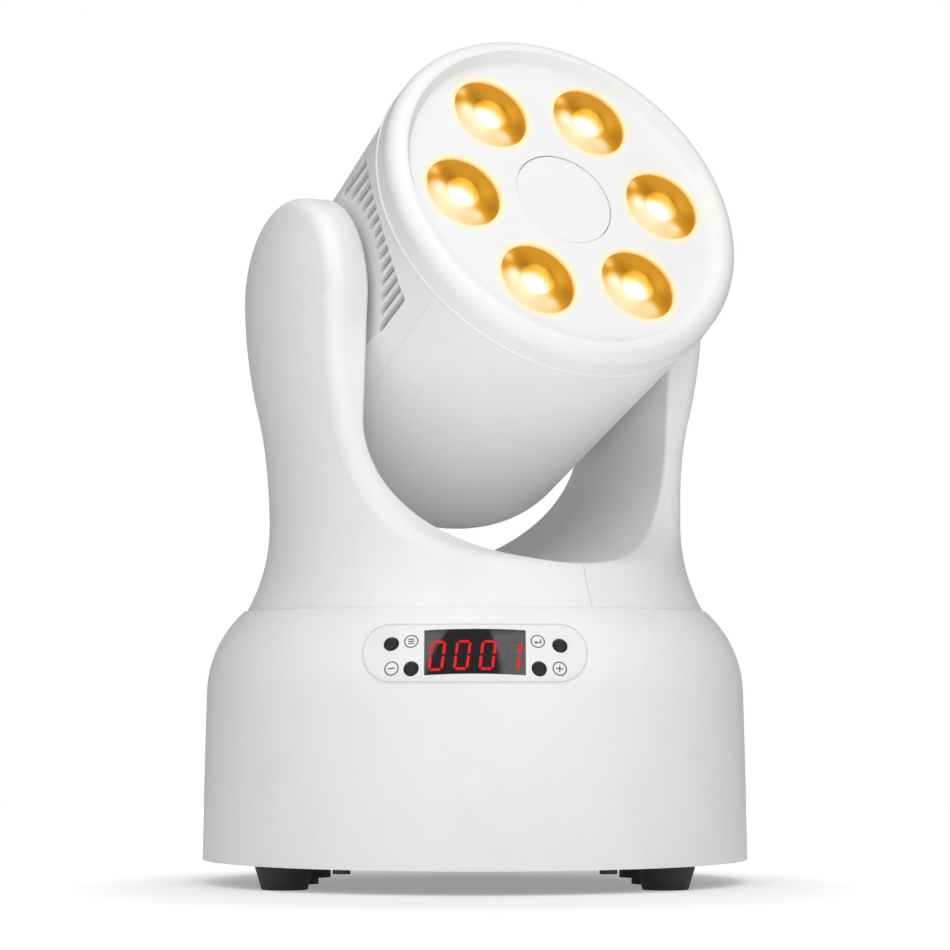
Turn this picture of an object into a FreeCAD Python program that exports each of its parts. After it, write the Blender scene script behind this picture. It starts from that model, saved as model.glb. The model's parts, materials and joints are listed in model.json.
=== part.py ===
import FreeCAD, Part
import math
import os
import Sketcher

# A small moving-head wash light: a round base, a fork (yoke) that pans on it, and a lamp head that
# tilts between the fork's arms. Millimetres, +Z up, origin under the pan axis on the feet's plane.

Vec = FreeCAD.Vector
Place = FreeCAD.Placement
Turn = FreeCAD.Rotation

DIMENSIONS = {
    # base housing: a drafted drum, a rounded shoulder and a flat deck with a low lip round it
    "foot_height": 7.5,
    "base_radius": 90.2,
    "drum_radius": 88.9,
    "shoulder_z": 61.7,
    "shoulder_radius": 37.2,
    "lip_radius": 76.6,
    "lip_inner_radius": 76.25,
    "lip_z": 89.1,
    "deck_radius": 77.0,
    "deck_z": 88.2,
    "base_skin": 2.5,
    "deck_skin": 3.0,
    "plate_radius": 87.3,
    "plate_thick": 1.8,
    "boss_circle": 83.4,
    "boss_radius": 4.2,
    "boss_length": 30.0,
    "post_radius": 3.5,
    # screws: thread in plastic, shank, and the clear hole that a shank passes
    "thread_radius": 1.4,
    "shank_radius": 1.35,
    "clear_radius": 1.7,
    "sheet_thick": 1.5,
    "board_thick": 1.6,
    # feet
    "foot_x": 60.5,
    "foot_y": 52.0,
    "foot_tread_radius": 7.3,
    "foot_top_radius": 9.6,
    # flat rear facet that carries the sockets
    "facet_y": 74.0,
    "facet_low": 14.0,
    "facet_high": 58.0,
    "facet_plate": 1.5,
    "rear_opening_half": 44.0,
    "rear_opening_low": 18.8,
    "rear_opening_high": 51.4,
    "rear_panel_half": 46.4,
    "inlet_x": 28.0,
    "inlet_z": 32.0,
    "socket_z": 36.0,
    "socket_sleeve_radius": 11.8,
    "socket_hole_radius": 12.0,
    # control panel on the shoulder
    "panel_tilt": 21.0,
    "panel_z": 75.1,
    "label_z": 74.8,
    "label_half_width": 35.3,
    "label_half_height": 9.25,
    "label_thick": 0.25,
    "window_half_width": 15.6,
    "window_half_height": 7.43,
    "window_rise": 0.5,
    "window_thick": 1.6,
    "window_gap": 0.15,
    "digits_half_width": 15.1,
    "digits_half_height": 7.0,
    "digits_front": 4.6,
    "panel_board_front": 12.0,
    "panel_board_half_width": 34.0,
    "panel_board_half_height": 9.0,
    "button_radius": 2.1,
    "button_hole_radius": 2.4,
    "button_travel": 0.6,
    # pan drive
    "pan_shaft_radius": 15.0,
    "pan_shaft_bore": 11.0,
    "pan_bearing_radius": 21.0,
    "pan_bearing_height": 6.0,
    "pan_pulley_radius": 28.65,
    "pan_motor_pulley_radius": 5.73,
    "pan_motor_x": -48.0,
    "pan_motor_size": 42.3,
    "pan_motor_length": 34.0,
    "pan_motor_top": 68.5,
    "pan_motor_shaft_radius": 2.2,
    "pan_belt_z": 74.5,
    "belt_gap": 0.35,
    "belt_thick": 1.3,
    # yoke outside
    "yoke_bottom": 88.7,
    "yoke_foot_radius": 75.9,
    "waist_radius": 68.3,
    "waist_z": 118.0,
    "flare_radius": 58.5,
    "bell_radius": 162.0,
    "arm_radius": 76.9,
    "arm_half_width": 32.7,
    "arm_top_z": 190.5,
    "crown_radius": 75.0,
    "neck_half_width": 29.6,
    "sweep_radius": 45.6,
    "sweep_z": 149.6,
    "yoke_skin": 2.0,
    "arm_round": 6.0,
    "gap_round": 1.5,
    # gap between the arms
    "gap_half": 57.0,
    "gap_floor_z": 103.5,
    "gap_floor_radius": 82.6,
    "gap_corner_radius": 45.0,
    # tilt drive
    "tilt_z": 189.4,
    "tilt_shaft_radius": 6.0,
    "tilt_shaft_bore": 3.5,
    "tilt_bearing_radius": 10.0,
    "tilt_pulley_radius": 19.1,
    "tilt_motor_pulley_radius": 5.09,
    "tilt_motor_z": 106.0,
    "tilt_motor_radius": 12.0,
    "tilt_motor_back": 47.0,
    "tilt_belt_x": 63.6,
    "upright_x": 59.2,
    "upright_thick": 1.2,
    "upright_half": 22.0,
    "yoke_plate_radius": 66.0,
    "yoke_plate_lift": 2.2,
    "liner_face": 58.2,
    # head
    "bezel_radius": 62.5,
    "bezel_back": 58.0,
    "bezel_bead": 0.35,
    "rim_crest_radius": 57.5,
    "rim_crest": 69.3,
    "rim_round": 5.0,
    "face_radius": 54.5,
    "face_z": 66.3,
    "barrel_front_radius": 62.0,
    "barrel_rear_radius": 58.4,
    "barrel_end": 54.0,
    "barrel_round": 14.0,
    "flat_half": 54.5,
    "flat_end": 43.8,
    "head_skin": 2.2,
    "panel_split": 34.2,
    "panel_rear": -40.0,
    "vent_pitch": 4.05,
    "vent_height": 2.5,
    "vent_hub_radius": 36.0,
    "vent_front": 49.0,
    "vent_front_radius": 110.0,
    "grille_radius": 27.0,
    "rear_sink": 52.8,
    "lens_circle": 36.9,
    "lens_radius": 12.75,
    "lens_hole_radius": 12.95,
    "lens_crown": 0.8,
    "centre_radius": 16.9,
    "led_board_z": 45.0,
    "led_board_radius": 50.0,
    "heat_sink_radius": 48.0,
    "heat_sink_rear": 19.5,
    "holder_z": 59.4,
    "holder_radius": 57.0,
    "fan_size": 60.0,
    "fan_bore": 28.6,
    "fan_rear": 50.0,
    "fan_hole_circle": 35.4,
    "fan_hub_radius": 15.0,
    "bracket_half": 50.0,
    "bracket_depth": 18.0,
    # rest pose
    "pan_rest": 29.33,
    "tilt_rest": 28.24,
}
CREASE_ANGLE = 0.15  # radians: edges whose faces meet at less than this are smooth already
VENTS = 14
LENSES = 6
FAN_BLADES = 7

doc = FreeCAD.newDocument("moving_head_light")
dim = doc.addObject("Spreadsheet::Sheet", "dim")
for row, (alias, number) in enumerate(DIMENSIONS.items(), start=1):
    dim.set(f"A{row}", alias)
    dim.set(f"B{row}", str(number))
    dim.setAlias(f"B{row}", alias)
doc.recompute()

nodes = []


def size(alias):
    """A driving dimension as a number."""
    return float(getattr(dim, alias))


def value(expression):
    """The number that an expression over the sheet gives."""
    return float(dim.evalExpression(str(expression)))


def bind(item, settings):
    """Bind properties of a document object to expressions over the sheet."""
    for name, expression in settings.items():
        item.setExpression(name, str(expression))


def frame(kind):
    """Where each assembly stands at rest: x along the tilt axis, the beam turned and raised."""
    turn = Turn(Vec(0, 0, 1), size("pan_rest"))
    if kind == "yoke":
        return Place(Vec(0, 0, 0), turn)
    if kind == "head":
        raised = Turn(Vec(1, 0, 0), 90 - size("tilt_rest"))
        return Place(Vec(0, 0, size("tilt_z")), turn.multiply(raised))
    return Place()


def panel_frame():
    """The control panel's own frame: z out of the shoulder, y up along it, origin on the surface."""
    rise = "(dim.panel_z - dim.shoulder_z)"
    reach = value(f"dim.drum_radius - dim.shoulder_radius + sqrt(dim.shoulder_radius^2 - {rise}^2)")
    return Place(Vec(0, -reach, size("panel_z")), Turn(Vec(1, 0, 0), 90 - size("panel_tilt")))


def keep(item, label, place=None):
    """Name a finished sub-part and put it where it belongs."""
    item.Label = label
    item.Placement = place or Place()
    nodes.append(item)
    return item


# ---- sketches and PartDesign features ----------------------------------------------------------


def new_body(name):
    return doc.addObject("PartDesign::Body", name)


def sketch_on(body, role, offset="0"):
    """An empty sketch on one of the body's own origin planes, shifted along its normal."""
    sketch = body.newObject("Sketcher::SketchObject", f"{body.Name}_sketch")
    plane = next(item for item in body.Origin.OriginFeatures if item.Role == role)
    sketch.AttachmentSupport = [(plane, "")]
    sketch.MapMode = "FlatFace"
    bind(sketch, {"AttachmentOffset.Base.z": offset})
    return sketch


def fix(sketch, kind, place, expression):
    """Add one dimension to a sketch and bind it to the sheet."""
    index = sketch.addConstraint(Sketcher.Constraint(kind, *place, value(expression)))
    sketch.setExpression(f"Constraints[{index}]", str(expression))


def outline(sketch, points):
    """A closed outline. A point is (x, y), or (x, y, radius, side) where an arc leaves it.

    side is 1 where the arc's centre is to the left of the way along, and -1 to the right."""
    corners = [Vec(value(point[0]), value(point[1]), 0) for point in points]
    first = sketch.GeometryCount
    count = len(points)
    ends = []
    for index, point in enumerate(points):
        start, stop = corners[index], corners[(index + 1) % count]
        if len(point) == 2:
            sketch.addGeometry(Part.LineSegment(start, stop))
            ends.append((1, 2))
            continue
        radius, side = value(point[2]), point[3]
        chord = stop - start
        left = Vec(-chord.y, chord.x, 0).normalize()
        reach = math.sqrt(max(radius**2 - (chord.Length / 2) ** 2, 0))
        centre = (start + stop) * 0.5 + left * (reach * side)
        tips = (start, stop) if side > 0 else (stop, start)
        turns = [math.atan2(tip.y - centre.y, tip.x - centre.x) for tip in tips]
        if turns[1] < turns[0]:
            turns[1] += 2 * math.pi
        sketch.addGeometry(Part.ArcOfCircle(Part.Circle(centre, Vec(0, 0, 1), radius), *turns))
        ends.append((1, 2) if side > 0 else (2, 1))
    for index in range(count):
        after = (index + 1) % count
        joint = (first + index, ends[index][1], first + after, ends[after][0])
        sketch.addConstraint(Sketcher.Constraint("Coincident", *joint))
    for index, point in enumerate(points):
        place = (first + index, ends[index][0])
        fix(sketch, "DistanceX", place, point[0])
        fix(sketch, "DistanceY", place, point[1])
        if len(point) == 4:
            fix(sketch, "Radius", (first + index,), point[2])


def circle(sketch, x, y, radius):
    index = sketch.addGeometry(Part.Circle(Vec(value(x), value(y), 0), Vec(0, 0, 1), value(radius)))
    fix(sketch, "DistanceX", (index, 3), x)
    fix(sketch, "DistanceY", (index, 3), y)
    fix(sketch, "Radius", (index,), radius)


def rectangle(sketch, low_x, low_y, high_x, high_y):
    outline(sketch, [(low_x, low_y), (high_x, low_y), (high_x, high_y), (low_x, high_y)])


def feature(body, kind, sketch, settings, **switches):
    """Add a sketch-based feature to a body and check that it changed the solid's volume."""
    doc.recompute()
    before = body.Shape.Volume if body.Tip else 0
    made = body.newObject(kind, f"{body.Name}_{kind.split('::')[1].lower()}")
    made.Profile = sketch
    for name, setting in switches.items():
        setattr(made, name, setting)
    bind(made, settings)
    doc.recompute()
    change = made.Shape.Volume - before
    wanted = -1 if kind.endswith(("Pocket", "Groove")) else 1
    if change * wanted <= 0:
        raise ValueError(f"{made.Name} changes the volume by {change}")
    return made


def lathe(name, points):
    """A body turned about Z from an outline in (radius, z)."""
    body = new_body(name)
    sketch = sketch_on(body, "XZ_Plane")
    outline(sketch, points)
    feature(body, "PartDesign::Revolution", sketch, {}, ReferenceAxis=(sketch, ["V_Axis"]), Angle=360)
    return body


def pad(body, role, offset, length, draw, midplane=False):
    """Pad what draw(sketch) puts on a plane."""
    sketch = sketch_on(body, role, offset)
    draw(sketch)
    return feature(body, "PartDesign::Pad", sketch, {"Length": length}, Midplane=midplane)


def pocket(body, role, offset, length, draw, midplane=False):
    """Cut what draw(sketch) puts on a plane, away from the plane's normal."""
    sketch = sketch_on(body, role, offset)
    draw(sketch)
    return feature(body, "PartDesign::Pocket", sketch, {"Length": length}, Midplane=midplane)


# ---- Part primitives and booleans --------------------------------------------------------------

AXES = {"z": Turn(), "x": Turn(Vec(0, 1, 0), 90), "y": Turn(Vec(1, 0, 0), -90)}


def stand(item, at):
    bind(item, {f"Placement.Base.{axis}": place for axis, place in zip("xyz", at)})
    return item


def box(low, high):
    """A Part::Box between two corners."""
    item = doc.addObject("Part::Box", "block")
    spans = (f"({top}) - ({bottom})" for bottom, top in zip(low, high))
    bind(item, dict(zip(("Length", "Width", "Height"), spans)))
    return stand(item, low)


def rod(at, radius, length, axis="z"):
    """A Part::Cylinder that runs from a point along an axis."""
    item = doc.addObject("Part::Cylinder", "rod")
    bind(item, {"Radius": radius, "Height": length})
    item.Placement = Place(Vec(), AXES[axis])
    return stand(item, at)


def cone(at, bottom, top, length, axis="z"):
    item = doc.addObject("Part::Cone", "cone")
    bind(item, {"Radius1": bottom, "Radius2": top, "Height": length})
    item.Placement = Place(Vec(), AXES[axis])
    return stand(item, at)


def ball(at, radius):
    item = doc.addObject("Part::Sphere", "ball")
    bind(item, {"Radius": radius})
    return stand(item, at)


def fuse(*items):
    joined = doc.addObject("Part::MultiFuse", "fuse")
    joined.Shapes = list(items)
    joined.Refine = True
    return joined


def cut(base, *tools):
    result = doc.addObject("Part::Cut", "cut")
    result.Base = base
    result.Tool = tools[0] if len(tools) == 1 else fuse(*tools)
    return result


def common(*items):
    result = doc.addObject("Part::MultiCommon", "common")
    result.Shapes = list(items)
    return result


def group(*items):
    """Separate solids that share one node."""
    result = doc.addObject("Part::Compound", "group")
    result.Links = list(items)
    return result


def creased(shape, edge):
    """Whether an edge's two faces meet at an angle."""
    point = edge.valueAt((edge.FirstParameter + edge.LastParameter) / 2)
    faces = shape.ancestorsOfType(edge, Part.Face)
    normals = [face.normalAt(*face.Surface.parameter(point)) for face in faces]
    return len(normals) == 2 and normals[0].getAngle(normals[1]) > CREASE_ANGLE


def rounded(item, radius, chosen):
    """Round the creased edges that chosen(edge) accepts."""
    doc.recompute()
    edges = enumerate(item.Shape.Edges, start=1)
    picked = [index for index, edge in edges if creased(item.Shape, edge) and chosen(edge)]
    result = doc.addObject("Part::Fillet", "rounded")
    result.Base = item
    result.Edges = [(index, size(radius), size(radius)) for index in picked]
    return result


def lies_on(shape, edge):
    """Whether an edge runs along a shape's surface or through its inside."""
    span = edge.LastParameter - edge.FirstParameter
    places = [edge.valueAt(edge.FirstParameter + span * step) for step in (0.1, 0.5, 0.9)]
    return all(shape.distToShape(Part.Vertex(place))[0] < 0.001 for place in places)


def ring(at, outer, inner, length, axis="z"):
    return cut(rod(at, outer, length, axis), rod(at, inner, length, axis))


def around(count, first, radius):
    """Points spaced evenly on a circle, as pairs of numbers."""
    turns = (math.radians(first + 360 * step / count) for step in range(count))
    return [(radius * math.cos(turn), radius * math.sin(turn)) for turn in turns]


def polar(angle, radius):
    return radius * math.cos(math.radians(angle)), radius * math.sin(math.radians(angle))


def screw(at, axis, head, shank, length, head_height=1.6, sign=1):
    """A pan-head screw: the head stands on the point, and the shank runs along the axis."""
    step = {"x": 0, "y": 1, "z": 2}[axis]
    head_at = list(at)
    shank_at = list(at)
    head_at[step] = f"({at[step]}) - {head_height if sign > 0 else 0}"
    shank_at[step] = f"({at[step]}) - {0.0 if sign > 0 else length}"
    top = rod(head_at, head, head_height, axis)
    return fuse(top, rod(shank_at, shank, f"{length}", axis))


# ---- base --------------------------------------------------------------------------------------

BOSS_TURNS = (0, 50, 130, 180, 240, 300)
FEET = {
    "foot_front_left": (-1, -1),
    "foot_front_right": (1, -1),
    "foot_rear_left": (-1, 1),
    "foot_rear_right": (1, 1),
}
FOOT_STEPS = ((4.0, 5.0, 1.6, 6.6), (7.6, 7.0, 3.6, 6.8))
POST_PLACES = ((-66.0, 18.0), (-66.0, -18.0), (-34.0, 22.0), (-34.0, -22.0))
BRACKET_HOLES = (-45.0, 45.0)
COLLAR_Z = "(dim.deck_z - dim.deck_skin - dim.pan_bearing_height)"
THROUGH = "60"  # a length that takes a cutting tool right through the wall it starts behind


def drum(name, skin, deck):
    """The base's solid outside, or with a skin the space inside it."""
    shoulder_x = f"dim.drum_radius - {skin}"
    if deck == "0":
        bottom = "dim.foot_height"
        rim = [("dim.lip_radius", "dim.lip_z"), ("dim.lip_inner_radius", "dim.lip_z")]
        rim.append(("dim.lip_inner_radius", "dim.deck_z"))
    else:
        bottom = "dim.foot_height - 5"
        rim = [(f"dim.deck_radius - ({deck}) / 5", f"dim.deck_z - {deck}")]
    body = lathe(name, [
        ("0", bottom),
        (f"dim.base_radius - {skin}", bottom),
        (shoulder_x, "dim.shoulder_z", f"dim.shoulder_radius - {skin}", 1),
        *rim,
        ("0", f"dim.deck_z - {deck}"),
    ])
    low, high = f"dim.facet_low - {skin}", f"dim.facet_high + {skin}"

    def facet(sketch):
        rectangle(sketch, "-60", low, "60", high)

    pocket(body, "XZ_Plane", f"-(dim.facet_y - {skin})", "40", facet)
    return body


PANEL = panel_frame()
BUTTONS = {
    "button_menu": (-26.0, 4.1),
    "button_down": (-19.8, -4.65),
    "button_enter": (26.4, 3.6),
    "button_up": (19.9, -4.65),
}
BUTTON_PROUD = 0.7
BUTTON_DOME = 0.6
DISPLAY_PINS = [(x, y) for x in range(-13, 14, 5) for y in (-6, 6)]


def on_panel(item):
    """Move a shape made in the panel's frame on to the base."""
    item.Placement = PANEL.multiply(item.Placement)
    return item


def panel_block(half_width, half_height, back, front, rise="0"):
    """A block across the panel, as a plain box in its frame."""
    item = doc.addObject("Part::Box", "panel_block")
    bind(item, {
        "Length": f"2 * ({half_width})",
        "Width": f"2 * ({half_height})",
        "Height": f"({front}) - ({back})",
    })
    corner = Vec(-value(half_width), value(f"{rise} - ({half_height})"), value(back))
    item.Placement = PANEL.multiply(Place(corner, Turn()))
    return item


def panel_rod(x, y, radius, back, front):
    item = doc.addObject("Part::Cylinder", "panel_rod")
    bind(item, {"Radius": radius, "Height": f"({front}) - ({back})"})
    item.Placement = PANEL.multiply(Place(Vec(x, y, value(back)), Turn()))
    return item


def window_block(gap, back, front):
    """A block the size of the display window, larger by a gap on each side."""
    half_width, half_height = f"dim.window_half_width + {gap}", f"dim.window_half_height + {gap}"
    return panel_block(half_width, half_height, back, front, "dim.window_rise")


def base_housing():
    shell = cut(drum("drum_outside", "0", "0"), drum("drum_inside", "dim.base_skin", "dim.deck_skin"))
    plate_top = "dim.foot_height + dim.plate_thick"
    bosses = []
    bores = []
    for turn in BOSS_TURNS:
        x, y = polar(turn, size("boss_circle"))
        bosses.append(rod((x, y, plate_top), "dim.boss_radius", "dim.boss_length"))
        bores.append(rod((x, y, plate_top), "dim.thread_radius", "dim.boss_length - 10"))
    post_z = "(dim.pan_motor_top + dim.sheet_thick)"
    post_height = f"dim.deck_z - dim.deck_skin - {post_z}"
    posts = [rod((x, y, post_z), "dim.post_radius", post_height) for x, y in POST_PLACES]
    collar = rod(("0", "0", COLLAR_Z), "dim.pan_bearing_radius + 4", "dim.pan_bearing_height + 0.5")
    solid = fuse(shell, collar, *bosses, *posts)
    seat = rod(("0", "0", COLLAR_Z), "dim.pan_bearing_radius", "dim.pan_bearing_height")
    throat = rod(("0", "0", "dim.shoulder_z"), "dim.pan_shaft_radius + 0.8", THROUGH)
    rear = box(
        ("-dim.rear_opening_half", "dim.facet_y - 10", "dim.rear_opening_low"),
        ("dim.rear_opening_half", "dim.facet_y + 5", "dim.rear_opening_high"),
    )
    threads = [rod((x, "dim.facet_y - 10", z), "1.45", "15", "y") for x, z in PLATE_SCREWS]
    window = window_block("dim.window_gap", "-9", "5")
    holes = [panel_rod(x, y, "dim.button_hole_radius", "-12", "5") for x, y in BUTTONS.values()]
    keep(cut(solid, seat, throat, rear, window, *threads, *holes, *bores), "base_housing")


def shoulder_skin(outer, inner):
    """The part of the shoulder's surface between two offsets, as a solid of revolution."""
    def half(offset):
        return [
            (f"dim.drum_radius + {offset} + 0.12", "dim.shoulder_z - 5"),
            (f"dim.drum_radius + {offset}", "dim.shoulder_z", f"dim.shoulder_radius + {offset}", 1),
            (f"dim.lip_radius + {offset}", "dim.lip_z"),
        ]
    outside, inside = half(outer), half(inner)
    edge = outside + [(inside[2][0], inside[2][1], f"dim.shoulder_radius + {inner}", -1)]
    return lathe("shoulder_skin", edge + [(inside[1][0], inside[1][1]), (inside[0][0], inside[0][1])])


def control_label():
    """The printed label: a thin skin on the shoulder, open at window and buttons.

    From straight in front its outline is a bar with round ends."""
    straight = "(dim.label_half_width - dim.label_half_height)"
    low, high = "dim.label_z - dim.label_half_height", "dim.label_z + dim.label_half_height"
    front, depth = "-(dim.base_radius + 5)", "30"
    middle = box((f"-{straight}", front, low), (straight, f"{front} + {depth}", high))
    across = [f"{side} * {straight}" for side in (-1, 1)]
    ends = [rod((x, front, "dim.label_z"), "dim.label_half_height", depth, "y") for x in across]
    window = window_block("dim.window_gap", "-12", "6")
    holes = [panel_rod(x, y, "dim.button_hole_radius", "-12", "6") for x, y in BUTTONS.values()]
    sheet = common(shoulder_skin("dim.label_thick", "0"), fuse(middle, *ends))
    keep(cut(sheet, window, *holes), "control_label")


def display_window():
    keep(common(shoulder_skin("0", "-dim.window_thick"), window_block("0", "-12", "6")), "display_window")


def display_module():
    """Four seven-segment digits in one block, with its pins through the board."""
    front = "-dim.digits_front"
    body = panel_block("dim.digits_half_width", "dim.digits_half_height", "-dim.panel_board_front", front)
    pins = [panel_rod(x, y, "0.3", "-15.5", "0.1 - dim.panel_board_front") for x, y in DISPLAY_PINS]
    keep(fuse(body, *pins), "display_module")


def panel_board():
    """The circuit board behind the panel, with a push switch under each button."""
    front = "-dim.panel_board_front"
    back = f"{front} - dim.board_thick"
    board = panel_block("dim.panel_board_half_width", "dim.panel_board_half_height", back, front)
    plate = cut(board, *[panel_rod(x, y, "0.6", f"{back} - 1", f"{front} + 1") for x, y in DISPLAY_PINS])
    switches = []
    for x, y in BUTTONS.values():
        switches.append(panel_rod(x, y, "2.4", front, "-8.6"))
        switches.append(panel_rod(x, y, "1.2", "-8.7", "-8.1"))
    keep(fuse(plate, *switches), "panel_board")


def buttons():
    """Push buttons: a stem over its switch, and a bevelled cap that stands proud of the panel."""
    shoulder_centre = value("dim.drum_radius - dim.shoulder_radius")
    for label, (x, y) in BUTTONS.items():
        spot = PANEL.multVec(Vec(x, y, 0))
        out = math.hypot(spot.x, spot.y) - shoulder_centre
        above = math.hypot(out, spot.z - size("shoulder_z")) - size("shoulder_radius")
        edge = BUTTON_PROUD - above - BUTTON_DOME
        stem = panel_rod(x, y, "dim.button_radius", "-7.4", edge)
        cap = doc.addObject("Part::Cone", "cap")
        bind(cap, {
            "Radius1": "dim.button_radius",
            "Radius2": "dim.button_radius - 0.7",
            "Height": BUTTON_DOME,
        })
        cap.Placement = PANEL.multiply(Place(Vec(x, y, edge), Turn()))
        keep(fuse(stem, cap), label)


def base_plate():
    """The steel floor: holes for its screws, the feet and a hanging bracket, and air slots."""
    plate = rod(("0", "0", "dim.foot_height"), "dim.plate_radius", "dim.plate_thick")
    holes = []
    for turn in BOSS_TURNS:
        x, y = polar(turn, size("boss_circle"))
        holes.append(rod((x, y, "0"), "dim.clear_radius", "20"))
    for side_x, side_y in FEET.values():
        holes.append(rod((f"{side_x} * dim.foot_x", f"{side_y} * dim.foot_y", "0"), "1.95", "20"))
    for x in BRACKET_HOLES:
        holes.append(rod((x, "0", "0"), "3.2", "20"))
    for x in range(-20, 21, 8):
        holes.append(box((x - 1.5, "28", "0"), (x + 1.5, "48", "20")))
    keep(cut(plate, *holes), "base_plate")


def feet():
    """Rubber feet: a tapered tread with two stepped bumps on the side towards the middle."""
    for label, (side_x, side_y) in FEET.items():
        x, y = f"{side_x} * dim.foot_x", f"{side_y} * dim.foot_y"
        tread = cone((x, y, "0"), "dim.foot_tread_radius", "dim.foot_top_radius", "dim.foot_height")
        steps = []
        for inward_x, inward_y, lift, radius in FOOT_STEPS:
            at = (f"{x} - {side_x * inward_x}", f"{y} - {side_y * inward_y}", lift)
            steps.append(rod(at, radius, f"dim.foot_height - {lift}"))
        hole = rod((x, y, "0"), "2.2", "20")
        sink = rod((x, y, "-1"), "4.2", "4")
        keep(cut(fuse(tread, *steps), hole, sink), label)


def base_screws():
    """Screws that hold the feet and the base plate."""
    made = []
    for turn in BOSS_TURNS:
        x, y = polar(turn, size("boss_circle"))
        made.append(screw((x, y, "dim.foot_height"), "z", "2.8", "dim.shank_radius", "12"))
    for side_x, side_y in FEET.values():
        x, y = f"{side_x} * dim.foot_x", f"{side_y} * dim.foot_y"
        made.append(screw((x, y, "3"), "z", "3.8", "1.9", "9"))
    keep(group(*made), "base_screws")


SOCKET_PLACES = {"dmx_input_socket": -31.0, "dmx_output_socket": -2.0}
SOCKET_Z = size("socket_z")
REAR_FACE = "(dim.facet_y + dim.facet_plate)"
PLATE_SCREWS = ((-38.0, 55.1), (-38.0, 16.9), (8.0, 16.9), (40.0, 55.1))


def rear_panel():
    """The steel plate on the rear facet that carries the sockets, and its screws."""
    plate = box(
        ("-dim.rear_panel_half", "dim.facet_y", "dim.facet_low + 0.8"),
        ("dim.rear_panel_half", REAR_FACE, "dim.facet_high - 0.8"),
    )
    inside = "dim.facet_y - 1"
    holes = [rod((x, inside, SOCKET_Z), "dim.socket_hole_radius", "5", "y") for x in SOCKET_PLACES.values()]
    holes.append(box(
        ("dim.inlet_x - 13.6", inside, "dim.inlet_z - 13.1"),
        ("dim.inlet_x + 13.6", "dim.facet_y + 5", "dim.inlet_z + 19.1"),
    ))
    holes += [rod((x, inside, z), "1.5", "5", "y") for x, z in PLATE_SCREWS]
    keep(cut(plate, *holes), "rear_panel")
    heads = [screw((x, REAR_FACE, z), "y", "2.0", "1.4", "5", 1.2, -1) for x, z in PLATE_SCREWS]
    keep(group(*heads), "rear_panel_screws")


def power_inlet():
    """A mains inlet with its three blades, and a fuse drawer above them."""
    x, z = size("inlet_x"), size("inlet_z")
    face = REAR_FACE
    flange = box((x - 15, face, z - 14.5), (x + 15, f"{face} + 2", z + 20.5))
    case = box((x - 13.4, f"{face} - 24", z - 13), (x + 13.4, f"{face} + 0.5", z + 19))
    hollow = box((x - 12, f"{face} - 16", z - 10), (x + 12, f"{face} + 3", z + 6))
    groove = box((x - 10, f"{face} + 1", z + 9.5), (x + 10, f"{face} + 3", z + 18))
    blades = []
    for across, up in ((-7, -4), (7, -4), (0, 2)):
        low = (x + across - 1, f"{face} - 16.5", z + up - 2)
        blades.append(box(low, (x + across + 1, f"{face} - 3", z + up + 2)))
    drawer = box((x - 9.4, f"{face} + 0.5", z + 10.1), (x + 9.4, f"{face} + 1.8", z + 17.4))
    keep(fuse(cut(fuse(flange, case), hollow, groove), drawer, *blades), "power_inlet")


def signal_sockets():
    """Three-pole round sockets: pins in a hollow for the input, a face with holes for the output."""
    face = REAR_FACE
    for label, x in SOCKET_PLACES.items():
        flange = box((x - 13, face, SOCKET_Z - 15.5), (x + 13, f"{face} + 2.4", SOCKET_Z + 15.5))
        sleeve = rod((x, f"{face} - 18", SOCKET_Z), "dim.socket_sleeve_radius", "18.5", "y")
        corners = [(x - 9.5, SOCKET_Z + 12.5), (x + 9.5, SOCKET_Z - 12.5)]
        holes = [rod((across, f"{face} - 1", up), "1.6", "6", "y") for across, up in corners]
        poles = [(x + across, SOCKET_Z + up) for across, up in around(3, 90, 4.6)]
        if label == "dmx_input_socket":
            hollow = rod((x, f"{face} - 14", SOCKET_Z), "9.6", "30", "y")
            pins = [rod((across, f"{face} - 14.5", up), "1.2", "12.5", "y") for across, up in poles]
            socket = fuse(cut(fuse(flange, sleeve), hollow, *holes), *pins)
        else:
            bores = [rod((across, f"{face} - 12", up), "1.5", "30", "y") for across, up in poles]
            trench = ring((x, f"{face} + 0.9", SOCKET_Z), "10.4", "9.2", "5", "y")
            socket = cut(fuse(flange, sleeve), trench, *holes, *bores)
        keep(socket, label)


CHIPS = ((26, -26, 14, 14), (46, -20, 8, 16))


def boards():
    """The power supply and the control electronics, on pillars above the base plate."""
    top = value("dim.foot_height + dim.plate_thick")
    deck = top + 6
    board = size("board_thick")
    supply = box((-60, -62, deck), (10, -22, deck + board))
    pillars = [rod((x, y, top), "3", "6.2") for x in (-56, 6) for y in (-58, -26)]
    core = box((-52, -56, deck + 1.5), (-24, -30, deck + 21))
    cans = [rod((x, y, deck + 1.5), "5.5", "18") for x, y in ((-12, -50), (-12, -36), (2, -50))]
    sink = box((-2, -40, deck + 1.5), (6, -38, deck + 20))
    keep(fuse(supply, core, sink, *pillars, *cans), "power_supply_board")
    control = box((16, -40, deck), (64, 12, deck + board))
    pillars = [rod((x, y, top), "3", "6.2") for x in (20, 60) for y in (-36, 8)]
    chips = [box((x, y, deck + 1.5), (x + width, y + depth, deck + 3)) for x, y, width, depth in CHIPS]
    plugs = [box((x, 0, deck + 1.5), (x + 8, 8, deck + 9)) for x in (24, 36, 48)]
    keep(fuse(control, *pillars, *chips, *plugs), "control_board")


# ---- pan drive ---------------------------------------------------------------------------------


PAN_PULLEY_Z = "(dim.pan_belt_z - 3)"
PAN_PULLEY_WIDTH = "6"


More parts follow.
